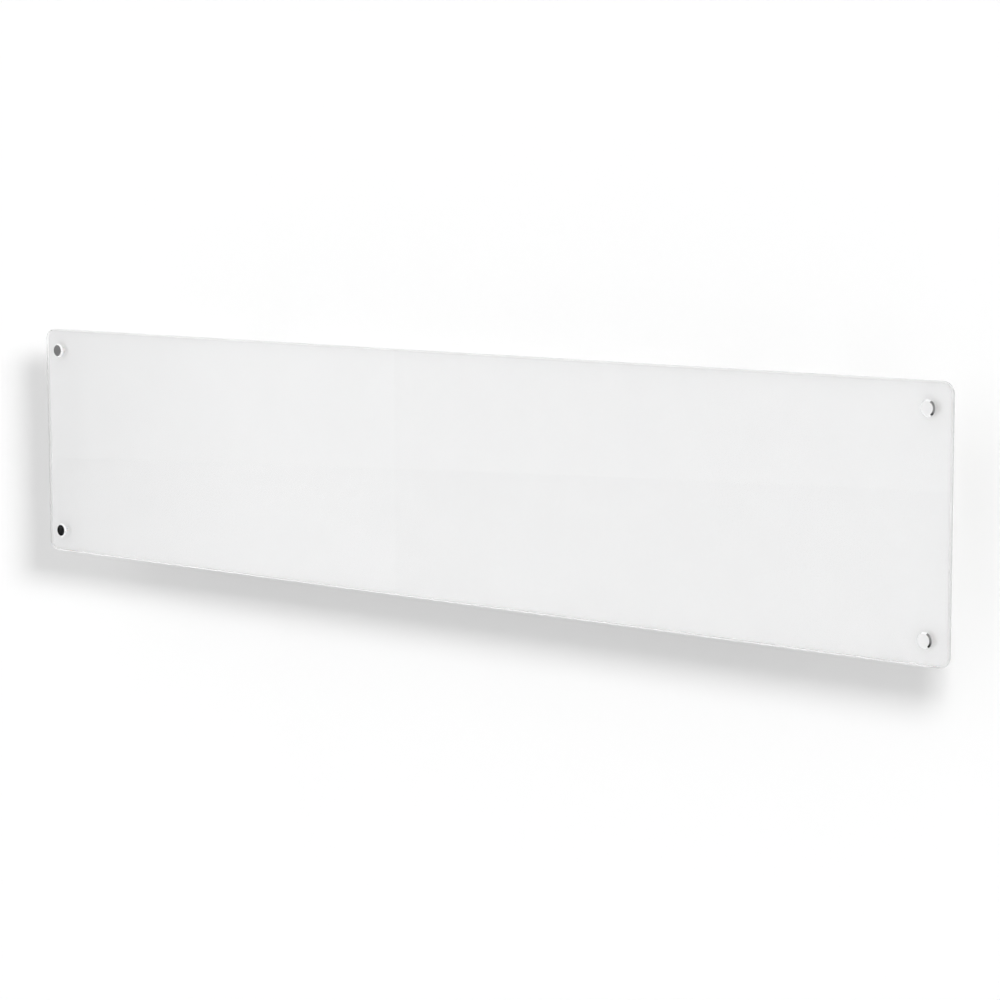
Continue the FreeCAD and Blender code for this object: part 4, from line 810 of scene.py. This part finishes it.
@dataclass
class GlassFront(Assembly):
    """The white-backed pane and its four capped corner fixings.

    Attributes:
        bevel: Width of the caps' bevelled rim.
        soften: Rounding of the bevel's two edges.
        soften_steps: Segments of that rounding.
        bore: Radius of the bore for the screw in a cap's back.
        roof: Thickness of the caps' face.
        steps: Sides of a cap's circle.
    """

    bevel: float = 0.0015
    soften: float = 0.00012
    soften_steps: int = 2
    bore: float = 0.0026
    roof: float = 0.0009
    steps: int = 96

    def build(self) -> None:
        """Dress the pane and its fixings, and make the caps."""
        self.dress(CLEAR_GLASS, "front_glass")
        self.dress(WHITE_ENAMEL, "white_backing")
        self.dress(SILICONE, "cap_washers")
        self.dress(NYLON, "glass_sleeves")
        self.dress(TURNED, "standoff_barrels")
        self.dress(SCREW_ZINC, "cap_screws")
        # A lamp shadow of the fixings would blot the thick glass.
        for hidden in ("cap_washers", "cap_screws", "glass_sleeves"):
            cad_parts[hidden].visible_shadow = False
        for level in ("top", "bottom"):
            for end in ("left", "right"):
                self.make_cap(f"corner_cap_{level}_{end}")

    def make_cap(self, node: str) -> None:
        """Make a turned chrome cap with a bevelled rim and a blind bore for its screw.

        Args:
            node: The CAD node that it stands for.
        """
        low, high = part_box(node)
        radius = (high.x - low.x) / 2
        height = high.y - low.y
        shape = bmesh.new()
        bmesh.ops.create_circle(shape, cap_ends=True, segments=self.steps, radius=radius)
        raised = bmesh.ops.extrude_face_region(shape, geom=shape.faces[:])["geom"]
        bmesh.ops.translate(shape, verts=points_of(raised), vec=(0, 0, height))
        round_off(shape, edges_of(raised), self.bevel)
        ridges = [e for e in shape.edges if e.calc_length() < self.bevel and self.on_ridge(e, height)]
        round_off(shape, ridges, self.soften, self.soften_steps)
        floor = [f for f in shape.faces if all(abs(v.co.z) < LEVEL_SHARE * height for v in f.verts)]
        bmesh.ops.inset_region(shape, faces=floor, thickness=radius - self.bore, use_even_offset=True)
        hollow = bmesh.ops.extrude_face_region(shape, geom=floor)["geom"]
        bmesh.ops.delete(shape, geom=floor, context="FACES_ONLY")
        bmesh.ops.translate(shape, verts=points_of(hollow), vec=(0, 0, height - self.roof))
        seat = Vector(((low.x + high.x) / 2, high.y, (low.z + high.z) / 2))
        bmesh.ops.transform(shape, matrix=facing(Side.FRONT.value, seat), verts=shape.verts)
        name = f"chrome_{node.removeprefix('corner_')}"
        cap = self.add_piece(name, shape, CHROME, "chrome_plate", Body.HEATER, node)
        cap.visible_shadow = False

    def on_ridge(self, edge: bmesh.types.BMEdge, height: float) -> bool:
        """Tell whether an edge runs round a cap at one of the bevel's two ends.

        Args:
            edge: The edge.
            height: The cap's height.

        Returns:
            True if it does.
        """
        slack = LEVEL_SHARE * height
        first, second = (vert.co.z for vert in edge.verts)
        return abs(first - second) < slack and first > height - self.bevel - slack


@dataclass
class CrossScrew:
    """A pan-head screw with a cross recess.

    Attributes:
        head_radius: Radius of the head.
        head_height: Height of the head.
        shank_radius: Radius of the shank.
        length: Length under the head.
        profile: Radius and height of points up the head's side, as shares of the head's own.
        steps: Sides of the head's circle.
        merge_share: Points nearer than this share of the head's radius are merged.
        tip_share: Radius of the shank's tip, as a share of the shank's.
        shank_steps: Sides of the shank's circle.
        recess_reach: Half the length of the cross, as a share of the head's radius.
        recess_width: Half the width of its arms, as a share of the head's radius.
        recess_floor: Size of the cross at its floor, as a share of that at the top.
        recess_depth: Depth of the cross, as a share of the head's height.
    """

    head_radius: float
    head_height: float
    shank_radius: float
    length: float
    profile: Pairs = ((0.0, 0.0), (0.96, 0.0), (1.0, 0.14), (0.97, 0.45), (0.86, 0.78), (0.68, 1.0))
    steps: int = 24
    merge_share: float = 0.001
    tip_share: float = 0.35
    shank_steps: int = 16
    recess_reach: float = 0.5
    recess_width: float = 0.13
    recess_floor: float = 0.7
    recess_depth: float = 0.7

    def add_to(self, shape: Shape, seat: Vector, side: Side) -> None:
        """Add the screw to a shape.

        Args:
            shape: The shape that gets it.
            seat: Where the head's underside sits.
            side: The side that the head faces.
        """
        screw = bmesh.new()
        self.turn_head(screw)
        self.sink_cross(screw)
        shank = bmesh.ops.create_cone(
            screw,
            cap_ends=True,
            segments=self.shank_steps,
            radius1=self.tip_share * self.shank_radius,
            radius2=self.shank_radius,
            depth=self.length,
        )
        bmesh.ops.translate(screw, verts=shank["verts"], vec=(0, 0, -self.length / 2))
        bmesh.ops.recalc_face_normals(screw, faces=screw.faces)
        bmesh.ops.transform(screw, matrix=facing(side.value, seat), verts=screw.verts)
        mesh = bpy.data.meshes.new("screw")
        screw.to_mesh(mesh)
        screw.free()
        shape.from_mesh(mesh)
        bpy.data.meshes.remove(mesh)

    def turn_head(self, screw: Shape) -> None:
        """Turn the head's domed side from its profile.

        Args:
            screw: The shape that gets it.
        """
        section = tuple((x * self.head_radius, z * self.head_height) for x, z in self.profile)
        turn(screw, section, self.steps)
        bmesh.ops.remove_doubles(screw, verts=screw.verts, dist=self.merge_share * self.head_radius)

    def sink_cross(self, screw: Shape) -> None:
        """Close the head's top round a tapered cross recess.

        Args:
            screw: The shape that holds the head's side.
        """
        top = self.head_height
        slack = LEVEL_SHARE * top
        ring = [e for e in screw.edges if e.is_boundary and all(v.co.z > top - slack for v in e.verts)]
        reach, width = self.recess_reach * self.head_radius, self.recess_width * self.head_radius
        quarter = [(reach, -width), (reach, width), (width, width)]
        corners = []
        for arm in range(4):
            spun = Matrix.Rotation(arm * math.tau / 4, 3, "Z")
            corners += [screw.verts.new(spun @ Vector((x, y, top))) for x, y in quarter]
        outline = [screw.edges.new(pair) for pair in zip(corners, corners[1:] + corners[:1])]
        bmesh.ops.bridge_loops(screw, edges=ring + outline)
        sunk = bmesh.ops.extrude_edge_only(screw, edges=outline)["geom"]
        deep = points_of(sunk)
        bmesh.ops.scale(screw, verts=deep, vec=(self.recess_floor, self.recess_floor, 1.0))
        bmesh.ops.translate(screw, verts=deep, vec=(0, 0, -self.recess_depth * top))
        bmesh.ops.contextual_create(screw, geom=edges_of(sunk))


@dataclass
class SteelBox(Assembly):
    """The folded casing with its end caps, plate, grille, heat shield and screws.

    Attributes:
        screw: The tapping screw that holds the casing to its plate.
        end_screw: The longer one that holds the end caps.
        flange_level: Height of the flange screws above and below the middle.
        flange_rear: Where the flange's rear face is along Y.
        flange_step: Distance between flange screws.
        flange_count: Flange screws in a row.
        end_across: Distance of the end-cap screws from the middle.
        end_level: Their height above and below the middle.
        end_rear: Where the skirt's rear face is along Y.
    """

    screw: CrossScrew = field(default_factory=lambda: CrossScrew(0.0026, 0.0018, 0.0014, 0.0044))
    end_screw: CrossScrew = field(default_factory=lambda: CrossScrew(0.0026, 0.0018, 0.0014, 0.0057))
    flange_level: float = 0.1038
    flange_rear: float = -0.061
    flange_step: float = 0.2028
    flange_count: int = 6
    end_across: float = 0.54
    end_level: float = 0.06
    end_rear: float = -0.01384

    def build(self) -> None:
        """Dress the box and make its screws."""
        self.dress(WHITE_STEEL, "front_plate", "rear_casing")
        self.dress(WHITE_PLASTIC, "end_cap_left", "end_cap_right")
        self.dress(GRILLE_WHITE, "outlet_grille")
        self.dress(FOIL, "rear_heat_shield")
        self.make_flange_screws()
        self.make_end_screws()

    def make_flange_screws(self) -> None:
        """Make the two rows of screws that hold the casing to its plate."""
        shape = bmesh.new()
        for number in range(self.flange_count):
            across = (number - (self.flange_count - 1) / 2) * self.flange_step
            for level in (-self.flange_level, self.flange_level):
                self.screw.add_to(shape, Vector((across, self.flange_rear, level)), Side.REAR)
        self.add_piece("flange_screws", shape, SCREW_ZINC, "plated_screws", Body.HEATER, "casing_screws")

    def make_end_screws(self) -> None:
        """Make the four screws that hold the end caps."""
        shape = bmesh.new()
        for across in (-self.end_across, self.end_across):
            for level in (-self.end_level, self.end_level):
                self.end_screw.add_to(shape, Vector((across, self.end_rear, level)), Side.REAR)
        self.add_piece("skirt_screws", shape, SCREW_ZINC, "plated_screws", Body.HEATER, "end_cap_screws")


@dataclass
class HeatingUnit(Assembly):
    """The finned element on its hangers, with the cut-out that guards it."""

    def build(self) -> None:
        """Dress the element and what carries it."""
        self.dress(FINS, "heating_element")
        self.dress(SHEATH, "heating_rod")
        self.dress(ZINC, "element_hanger_left", "element_hanger_right")
        self.dress(CERAMIC, "ceramic_bush_left", "ceramic_bush_right")
        self.dress(IVORY, "thermal_cutout")


@dataclass
class ControlChamber(Assembly):
    """The chamber at the right end: its wall, board, terminals, leads, gland and sensor."""

    def build(self) -> None:
        """Dress the chamber's pieces."""
        self.dress(ZINC, "control_bulkhead")
        self.dress(SILICONE, "wire_grommets")
        self.dress(BOARD, "power_board")
        self.dress(NYLON, "board_posts")
        self.dress(BLACK_PLASTIC, "power_relay", "gland_nut", "room_sensor")
        self.dress(TAPE, "board_transformer")
        self.dress(SLEEVE, "smoothing_capacitor")
        self.dress(IVORY, "terminal_block")
        self.dress(SCREW_ZINC, "earth_screw")
        self.dress(BROWN_LEAD, "live_wire", "link_wire")
        self.dress(BLUE_LEAD, "return_wire")
        self.dress(EARTH_LEAD, "earth_wire")
        self.dress(WHITE_PLASTIC, "cable_gland", "sensor_cup")


@dataclass
class ControlPanel(Assembly):
    """The fascia in the casing's top with its display and keys, and the rocker in the end.

    Attributes:
        mark_reach: Half the length of the keys' marks.
        mark_width: Half the width of their strokes.
        mark_rise: How far a printed mark stands proud.
        bar_round: Rounding of a bar's corners, as a share of half its width.
        bar_steps: Segments of that rounding.
        ring_share: Radius of the key's ring, as a share of the marks' reach.
        ring_steps: Sides of a ring.
        finger_slope: How far a face of the rocker faces outwards to be a finger face.
        rocker_reach: Half the height of the rocker's marks.
        figure_reach: Half the length of a bar in the display's figures.
        figure_width: Half the width of such a bar.
        figure_pitch: Distance between the figures' middles.
        reading: The bars that are lit in each figure.
    """

    mark_reach: float = 0.0018
    mark_width: float = 0.00032
    mark_rise: float = 0.00006
    bar_round: float = 0.7
    bar_steps: int = 3
    ring_share: float = 0.85
    ring_steps: int = 40
    finger_slope: float = 0.95
    rocker_reach: float = 0.0016
    figure_reach: float = 0.0019
    figure_width: float = 0.00048
    figure_pitch: float = 0.0068
    reading: tuple[tuple[Segment, ...], ...] = (
        (Segment.TOP, Segment.UPPER_RIGHT, Segment.MIDDLE, Segment.LOWER_LEFT, Segment.FOOT),
        (Segment.UPPER_RIGHT, Segment.LOWER_RIGHT),
    )

    def build(self) -> None:
        """Dress the panel and make its marks."""
        self.dress(WHITE_PLASTIC, "control_fascia")
        self.dress(SMOKED, "display_window")
        self.dress(BOARD, "display_board")
        self.dress(BLACK_PLASTIC, "display_module", "tact_switches", "rocker_housing")
        self.dress(GREY_PLASTIC, "button_minus", "button_plus", "button_mode")
        self.dress(ROCKER_PLASTIC, "power_rocker")
        self.make_key_marks()
        self.make_rocker_marks()
        self.make_figures()

    def bar(self, shape: Shape, along: float, across: float, at: Triple = (0.0, 0.0, 0.0)) -> None:
        """Add a thin bar with rounded ends.

        Args:
            shape: The shape that gets it.
            along: Half its length along X.
            across: Half its width along Y.
            at: The middle of its underside.
        """
        corners = bmesh.ops.create_cube(shape, size=1.0)["verts"]
        bmesh.ops.scale(shape, verts=corners, vec=(2 * along, 2 * across, self.mark_rise))
        half_rise = self.mark_rise / 2
        bmesh.ops.translate(shape, verts=corners, vec=Vector(at) + Vector((0, 0, half_rise)))
        edges = dict.fromkeys(edge for corner in corners for edge in corner.link_edges)
        uprights = [e for e in edges if abs(e.verts[0].co.z - e.verts[1].co.z) > half_rise]
        round_off(shape, uprights, self.bar_round * min(along, across), self.bar_steps)

    def ring(self, shape: Shape, radius: float) -> None:
        """Add a thin ring, flat on Z = 0.

        Args:
            shape: The shape that gets it.
            radius: Radius of its middle line.
        """
        inner, outer = radius - self.mark_width, radius + self.mark_width
        section = ((inner, 0.0), (outer, 0.0), (outer, self.mark_rise), (inner, self.mark_rise))
        turn(shape, section, self.ring_steps, closed=True)

    def make_key_marks(self) -> None:
        """Print a minus, a plus and a ring on the three keys."""
        keys = (("button_minus", Body.MINUS), ("button_plus", Body.PLUS), ("button_mode", Body.MODE))
        for node, body in keys:
            shape = bmesh.new()
            if body is Body.MODE:
                self.ring(shape, self.ring_share * self.mark_reach)
            else:
                self.bar(shape, self.mark_reach, self.mark_width)
            if body is Body.PLUS:
                self.bar(shape, self.mark_width, self.mark_reach)
            bmesh.ops.translate(shape, verts=shape.verts, vec=node_top(node))
            self.add_piece(f"{node}_mark", shape, MARK_PRINT, "black_moulding", body)

    def make_figures(self) -> None:
        """Light a room temperature on the display."""
        shape = bmesh.new()
        screen = node_top("display_module")
        for number, lit in enumerate(self.reading):
            middle = screen.x + (number - (len(self.reading) - 1) / 2) * self.figure_pitch
            for segment in lit:
                across, up, stands = segment.value
                length, width = self.figure_reach - self.figure_width, self.figure_width
                at = (middle + across * self.figure_reach, screen.y + up * self.figure_reach, screen.z)
                self.bar(shape, *((width, length) if stands else (length, width)), at)
        self.add_piece("display_figures", shape, FIGURES, "smoked_window", Body.HEATER)

    def rocker_faces(self) -> list[tuple[Vector, Vector]]:
        """Find the rocker's two finger faces.

        Returns:
            The middle and the normal of the upper and the lower face.
        """
        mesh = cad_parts["power_rocker"].data
        middle = node_middle("power_rocker").z
        found = []
        for upper in (True, False):
            area, centre, normal = 0.0, Vector(), Vector()
            for face in mesh.polygons:
                if face.normal.x > self.finger_slope and (face.center.z > middle) is upper:
                    area += face.area
                    centre += face.center * face.area
                    normal += face.normal * face.area
            found.append((centre / area, normal.normalized()))
        return found

    def make_rocker_marks(self) -> None:
        """Print a stroke on the rocker's upper face and a ring on its lower one."""
        for (centre, normal), closed in zip(self.rocker_faces(), (False, True)):
            shape = bmesh.new()
            if closed:
                self.ring(shape, self.rocker_reach)
            else:
                self.bar(shape, self.mark_width, self.rocker_reach)
            rear = Side.REAR.value
            upright = Matrix((rear, normal.cross(rear), normal)).transposed().to_4x4()
            bmesh.ops.transform(shape, matrix=Matrix.Translation(centre) @ upright, verts=shape.verts)
            name = "rocker_off_mark" if closed else "rocker_on_mark"
            self.add_piece(name, shape, PALE_PRINT, "rocker_plastic", Body.ROCKER)


@dataclass
class WallBracket(Assembly):
    """The two hooked uprights that stay on the wall, with the rail between them."""

    def build(self) -> None:
        """Dress the bracket."""
        self.dress(ZINC, "wall_upright_left", "wall_upright_right", "wall_tie_rail")
        self.dress(SCREW_ZINC, "tie_rail_rivets")


@dataclass(frozen=True)
class DarkCard:
    """A card that only mirrors see, dark in the middle and fading to white upwards and to its sides.

    Attributes:
        name: The card's name.
        size: Its width and height.
        centre: Its middle.
        towards: The way that it faces.
        rise: Heights above its middle, with the brightness at each.
        spread: Distances to the sides of its middle, with the brightness at each.
    """

    name: str
    size: tuple[float, float]
    centre: Triple
    towards: Triple
    rise: Pairs
    spread: Pairs


LEFT_CARD = DarkCard(
    "left_card",
    size=(1.3, 1.6),
    centre=(-2.132, -1.312, -0.03),
    towards=(0.765, 0.636, 0.0),
    rise=((-0.32, 0.012), (0.0, 0.2), (0.35, 1.0)),
    spread=((0.06, 0.0), (0.1, 0.4), (0.38, 1.0)),
)
RIGHT_CARD = DarkCard(
    "right_card",
    size=(1.0, 2.6),
    centre=(0.784, -0.217, 0.0),
    towards=(-0.832, 0.548, 0.0),
    rise=((-0.35, 0.03), (-0.1, 0.25), (0.1, 0.3), (0.4, 0.2), (1.2, 0.3)),
    spread=((0.0, 0.0), (0.42, 0.02), (0.5, 1.0)),
)


@dataclass
class Studio:
    """The wall and floor, the light and the camera.

    Attributes:
        ambient: Strength of the light from all round.
        key: Power of the key lamp.
        key_at: Where the key hangs.
        key_radius: Its radius, which softens the shadow.
        rear: Power of the lamp behind.
        rear_at: Where that lamp hangs.
        rear_size: Its width.
        cards: The dark cards that the chrome caps and the pane's left end mirror.
        wall_white: Colour of the wall.
        floor_white: Colour of the floor, which the key lights more strongly.
        lift: Light that both add where they are looked at.
        wall_size: Width and height of the wall.
        wall_gap: Hair's breadth between the heater's back and the wall.
        floor_size: Width and depth of the floor.
        floor_level: Height of the floor.
        camera_at: Where the camera stands.
        camera_turn: Its turn about X, Y and Z, in degrees.
        lens: Its focal length in millimetres.
    """

    ambient: float = 0.666
    key: float = 11.85
    key_at: Triple = (1.4, -1.05, 0.64)
    key_radius: float = 0.227
    rear: float = 40.0
    rear_at: Triple = (-1.2, 2.6, 1.4)
    rear_size: float = 2.0
    cards: tuple[DarkCard, ...] = (LEFT_CARD, RIGHT_CARD)
    wall_white: float = 1.0
    floor_white: float = 0.64
    lift: float = 0.03
    wall_size: tuple[float, float] = (40.0, 16.0)
    wall_gap: float = 0.0012
    floor_size: tuple[float, float] = (40.0, 20.0)
    floor_level: float = -1.6
    camera_at: Triple = (1.9786, -2.2109, 0.3220)
    camera_turn: Triple = (83.239, 0.128, 41.603)
    lens: float = 106.045

    def build(self) -> None:
        """Set up the stage, the light and the camera."""
        bpy.context.scene.view_settings.view_transform = "Standard"
        self.make_world()
        wall = self.stage_paint("wall_paint", self.wall_white)
        floor = self.stage_paint("floor_paint", self.floor_white)
        self.add_sheet("stage_wall", self.wall_size, Vector((0, self.wall_gap, 0)), Side.FRONT.value, wall)
        middle = Vector((0, -self.floor_size[1] / 2, self.floor_level))
        self.add_sheet("stage_floor", self.floor_size, middle, Vector((0, 0, 1)), floor)
        for card in self.cards:
            self.add_card(card)
        self.add_lamps()
        self.add_camera()

    def make_world(self) -> None:
        """Light from all round, which looks white in the view, in metal and in glass.

        A ray that has met a matt surface on its way gets the ambient strength, so the white adds no light.
        """
        world = bpy.data.worlds.new("studio")
        bpy.context.scene.world = world
        world.use_nodes = True
        sheet = NodeSheet(world.node_tree)
        seen = sheet.any_ray("Is Camera Ray", "Is Glossy Ray", "Is Transmission Ray")
        matt_meetings = sheet.add("LightPath").outputs["Diffuse Depth"]
        direct = sheet.maths("MULTIPLY", seen, sheet.maths("LESS_THAN", matt_meetings, 0.5))
        level = sheet.span(direct, self.ambient, 1.0, 0.0, 1.0)
        sheet.feed(sheet.nodes["Background"], {"Color": (1.0, 1.0, 1.0, 1.0), "Strength": level})

    def stage_paint(self, name: str, white: float) -> bpy.types.Material:
        """White paint that is clear from behind and keeps the heater's shadow.

        Args:
            name: The material's name.
            white: How white it is.

        Returns:
            The material.
        """
        sheet = PaintSheet(name)
        matt = sheet.add("BsdfDiffuse", {"Color": (white, white, white, 1.0)}).outputs["BSDF"]
        seen = sheet.any_ray("Is Camera Ray", "Is Glossy Ray", "Is Transmission Ray")
        strength = sheet.maths("MULTIPLY", seen, self.lift)
        lift = sheet.add("Emission", {"Strength": strength}).outputs["Emission"]
        front = sheet.add("AddShader", {0: matt, 1: lift}).outputs["Shader"]
        clear = sheet.add("BsdfTransparent").outputs["BSDF"]
        behind = sheet.add("NewGeometry").outputs["Backfacing"]
        whole = sheet.add("MixShader", {"Fac": behind, 1: front, 2: clear}).outputs["Shader"]
        sheet.feed(sheet.output, {"Surface": whole})
        sheet.nodes.remove(sheet.shader)
        return sheet.material

    def add_sheet(
        self,
        name: str,
        size: tuple[float, float],
        centre: Vector,
        towards: Vector,
        paint: bpy.types.Material,
    ) -> bpy.types.Object:
        """Add a flat sheet to the stage.

        Args:
            name: The sheet's name.
            size: Its width and height.
            centre: Its middle.
            towards: The way that it faces.
            paint: Its material.

        Returns:
            The sheet's object.
        """
        shape = bmesh.new()
        bmesh.ops.create_grid(shape, x_segments=1, y_segments=1, size=0.5)
        bmesh.ops.scale(shape, verts=shape.verts, vec=(*size, 1.0))
        mesh = bpy.data.meshes.new(name)
        shape.to_mesh(mesh)
        shape.free()
        mesh.materials.append(paint)
        item = bpy.data.objects.new(name, mesh)
        item.matrix_world = facing(towards, centre)
        bpy.context.scene.collection.objects.link(item)
        item.visible_shadow = False
        item.visible_diffuse = False
        LOG.info("%s set up", name)
        return item

    def add_card(self, card: DarkCard) -> None:
        """Stand a card where only mirrors see it.

        Args:
            card: The card.
        """
        paint = self.card_paint(card)
        item = self.add_sheet(card.name, card.size, Vector(card.centre), Vector(card.towards), paint)
        item.visible_camera = False
        item.visible_transmission = False

    def card_paint(self, card: DarkCard) -> bpy.types.Material:
        """Paint that fades from a card's dark middle to white.

        Args:
            card: The card.

        Returns:
            The material.
        """
        sheet = PaintSheet(f"{card.name}_paint")
        parts = sheet.add("SeparateXYZ", {"Vector": sheet.add("TexCoord").outputs["Object"]}).outputs
        sides = self.fade(sheet, sheet.maths("ABSOLUTE", parts["X"]), card.spread)
        glow = sheet.maths("MAXIMUM", sides, self.fade(sheet, parts["Y"], card.rise))
        sheet.feed(sheet.output, {"Surface": sheet.add("Emission", {"Strength": glow}).outputs["Emission"]})
        sheet.nodes.remove(sheet.shader)
        return sheet.material

    def fade(self, sheet: NodeSheet, distance: Socket, stops: Pairs) -> Socket:
        """Turn a distance into brightness.

        Args:
            sheet: The material's nodes.
            distance: The distance.
            stops: Distances in rising order, with the brightness at each.

        Returns:
            The brightness.
        """
        first, last = stops[0][0], stops[-1][0]
        ramp = sheet.add("ValToRGB", {"Fac": sheet.span(distance, 0.0, 1.0, first, last)})
        elements = ramp.color_ramp.elements
        for at, light in stops[1:-1]:
            elements.new((at - first) / (last - first)).color = (light, light, light, 1.0)
        for element, (_, light) in ((elements[0], stops[0]), (elements[-1], stops[-1])):
            element.color = (light, light, light, 1.0)
        return ramp.outputs["Color"]

    def add_lamps(self) -> None:
        """Hang the key lamp in front and a softer one behind."""
        key = bpy.data.lights.new("key_lamp", "POINT")
        key.energy = self.key
        key.shadow_soft_size = self.key_radius
        self.spread_evenly(key)
        self.hang(key, Vector(self.key_at), visible=False)
        soft = bpy.data.lights.new("rear_lamp", "AREA")
        soft.energy = self.rear
        soft.size = self.rear_size
        self.hang(soft, Vector(self.rear_at), visible=True)

    def spread_evenly(self, lamp: bpy.types.Light) -> None:
        """Make a lamp light the near and far ends of the wall alike.

        Light on a wall fades with the square of the lamp's distance and once more with its slant, so the lamp
        gains with the distance's cube.

        Args:
            lamp: The lamp.
        """
        lamp.use_nodes = True
        sheet = NodeSheet(lamp.node_tree)
        reach = sheet.add("LightFalloff", {"Strength": 1.0}).outputs
        cube = sheet.maths("MULTIPLY", reach["Constant"], reach["Linear"])
        sheet.feed(sheet.nodes["Emission"], {"Strength": cube})

    def hang(self, lamp: bpy.types.Light, place: Vector, visible: bool) -> None:
        """Hang a lamp that points at the heater.

        Args:
            lamp: The lamp.
            place: Where it hangs.
            visible: Whether mirrors and glass show it.
        """
        item = bpy.data.objects.new(lamp.name, lamp)
        item.matrix_world = facing(place, place)
        item.visible_glossy = visible
        item.visible_transmission = visible
        bpy.context.scene.collection.objects.link(item)
        LOG.info("%s hung", lamp.name)

    def add_camera(self) -> None:
        """Stand the camera at the photograph's viewing angle."""
        eye = bpy.data.cameras.new("camera")
        eye.lens = self.lens
        item = bpy.data.objects.new("camera", eye)
        item.location = self.camera_at
        item.rotation_euler = [math.radians(turn) for turn in self.camera_turn]
        bpy.context.scene.collection.objects.link(item)
        bpy.context.scene.camera = item


def main() -> None:
    """Build the heater's sub-assemblies and the studio."""
    logging.basicConfig(level=logging.INFO, format="%(name)s: %(message)s")
    palette = Palette()
    assemblies = (GlassFront, SteelBox, HeatingUnit, ControlChamber, ControlPanel, WallBracket)
    for assembly in assemblies:
        assembly(palette).build()
    Studio().build()


if __name__ == "__main__":
    main()
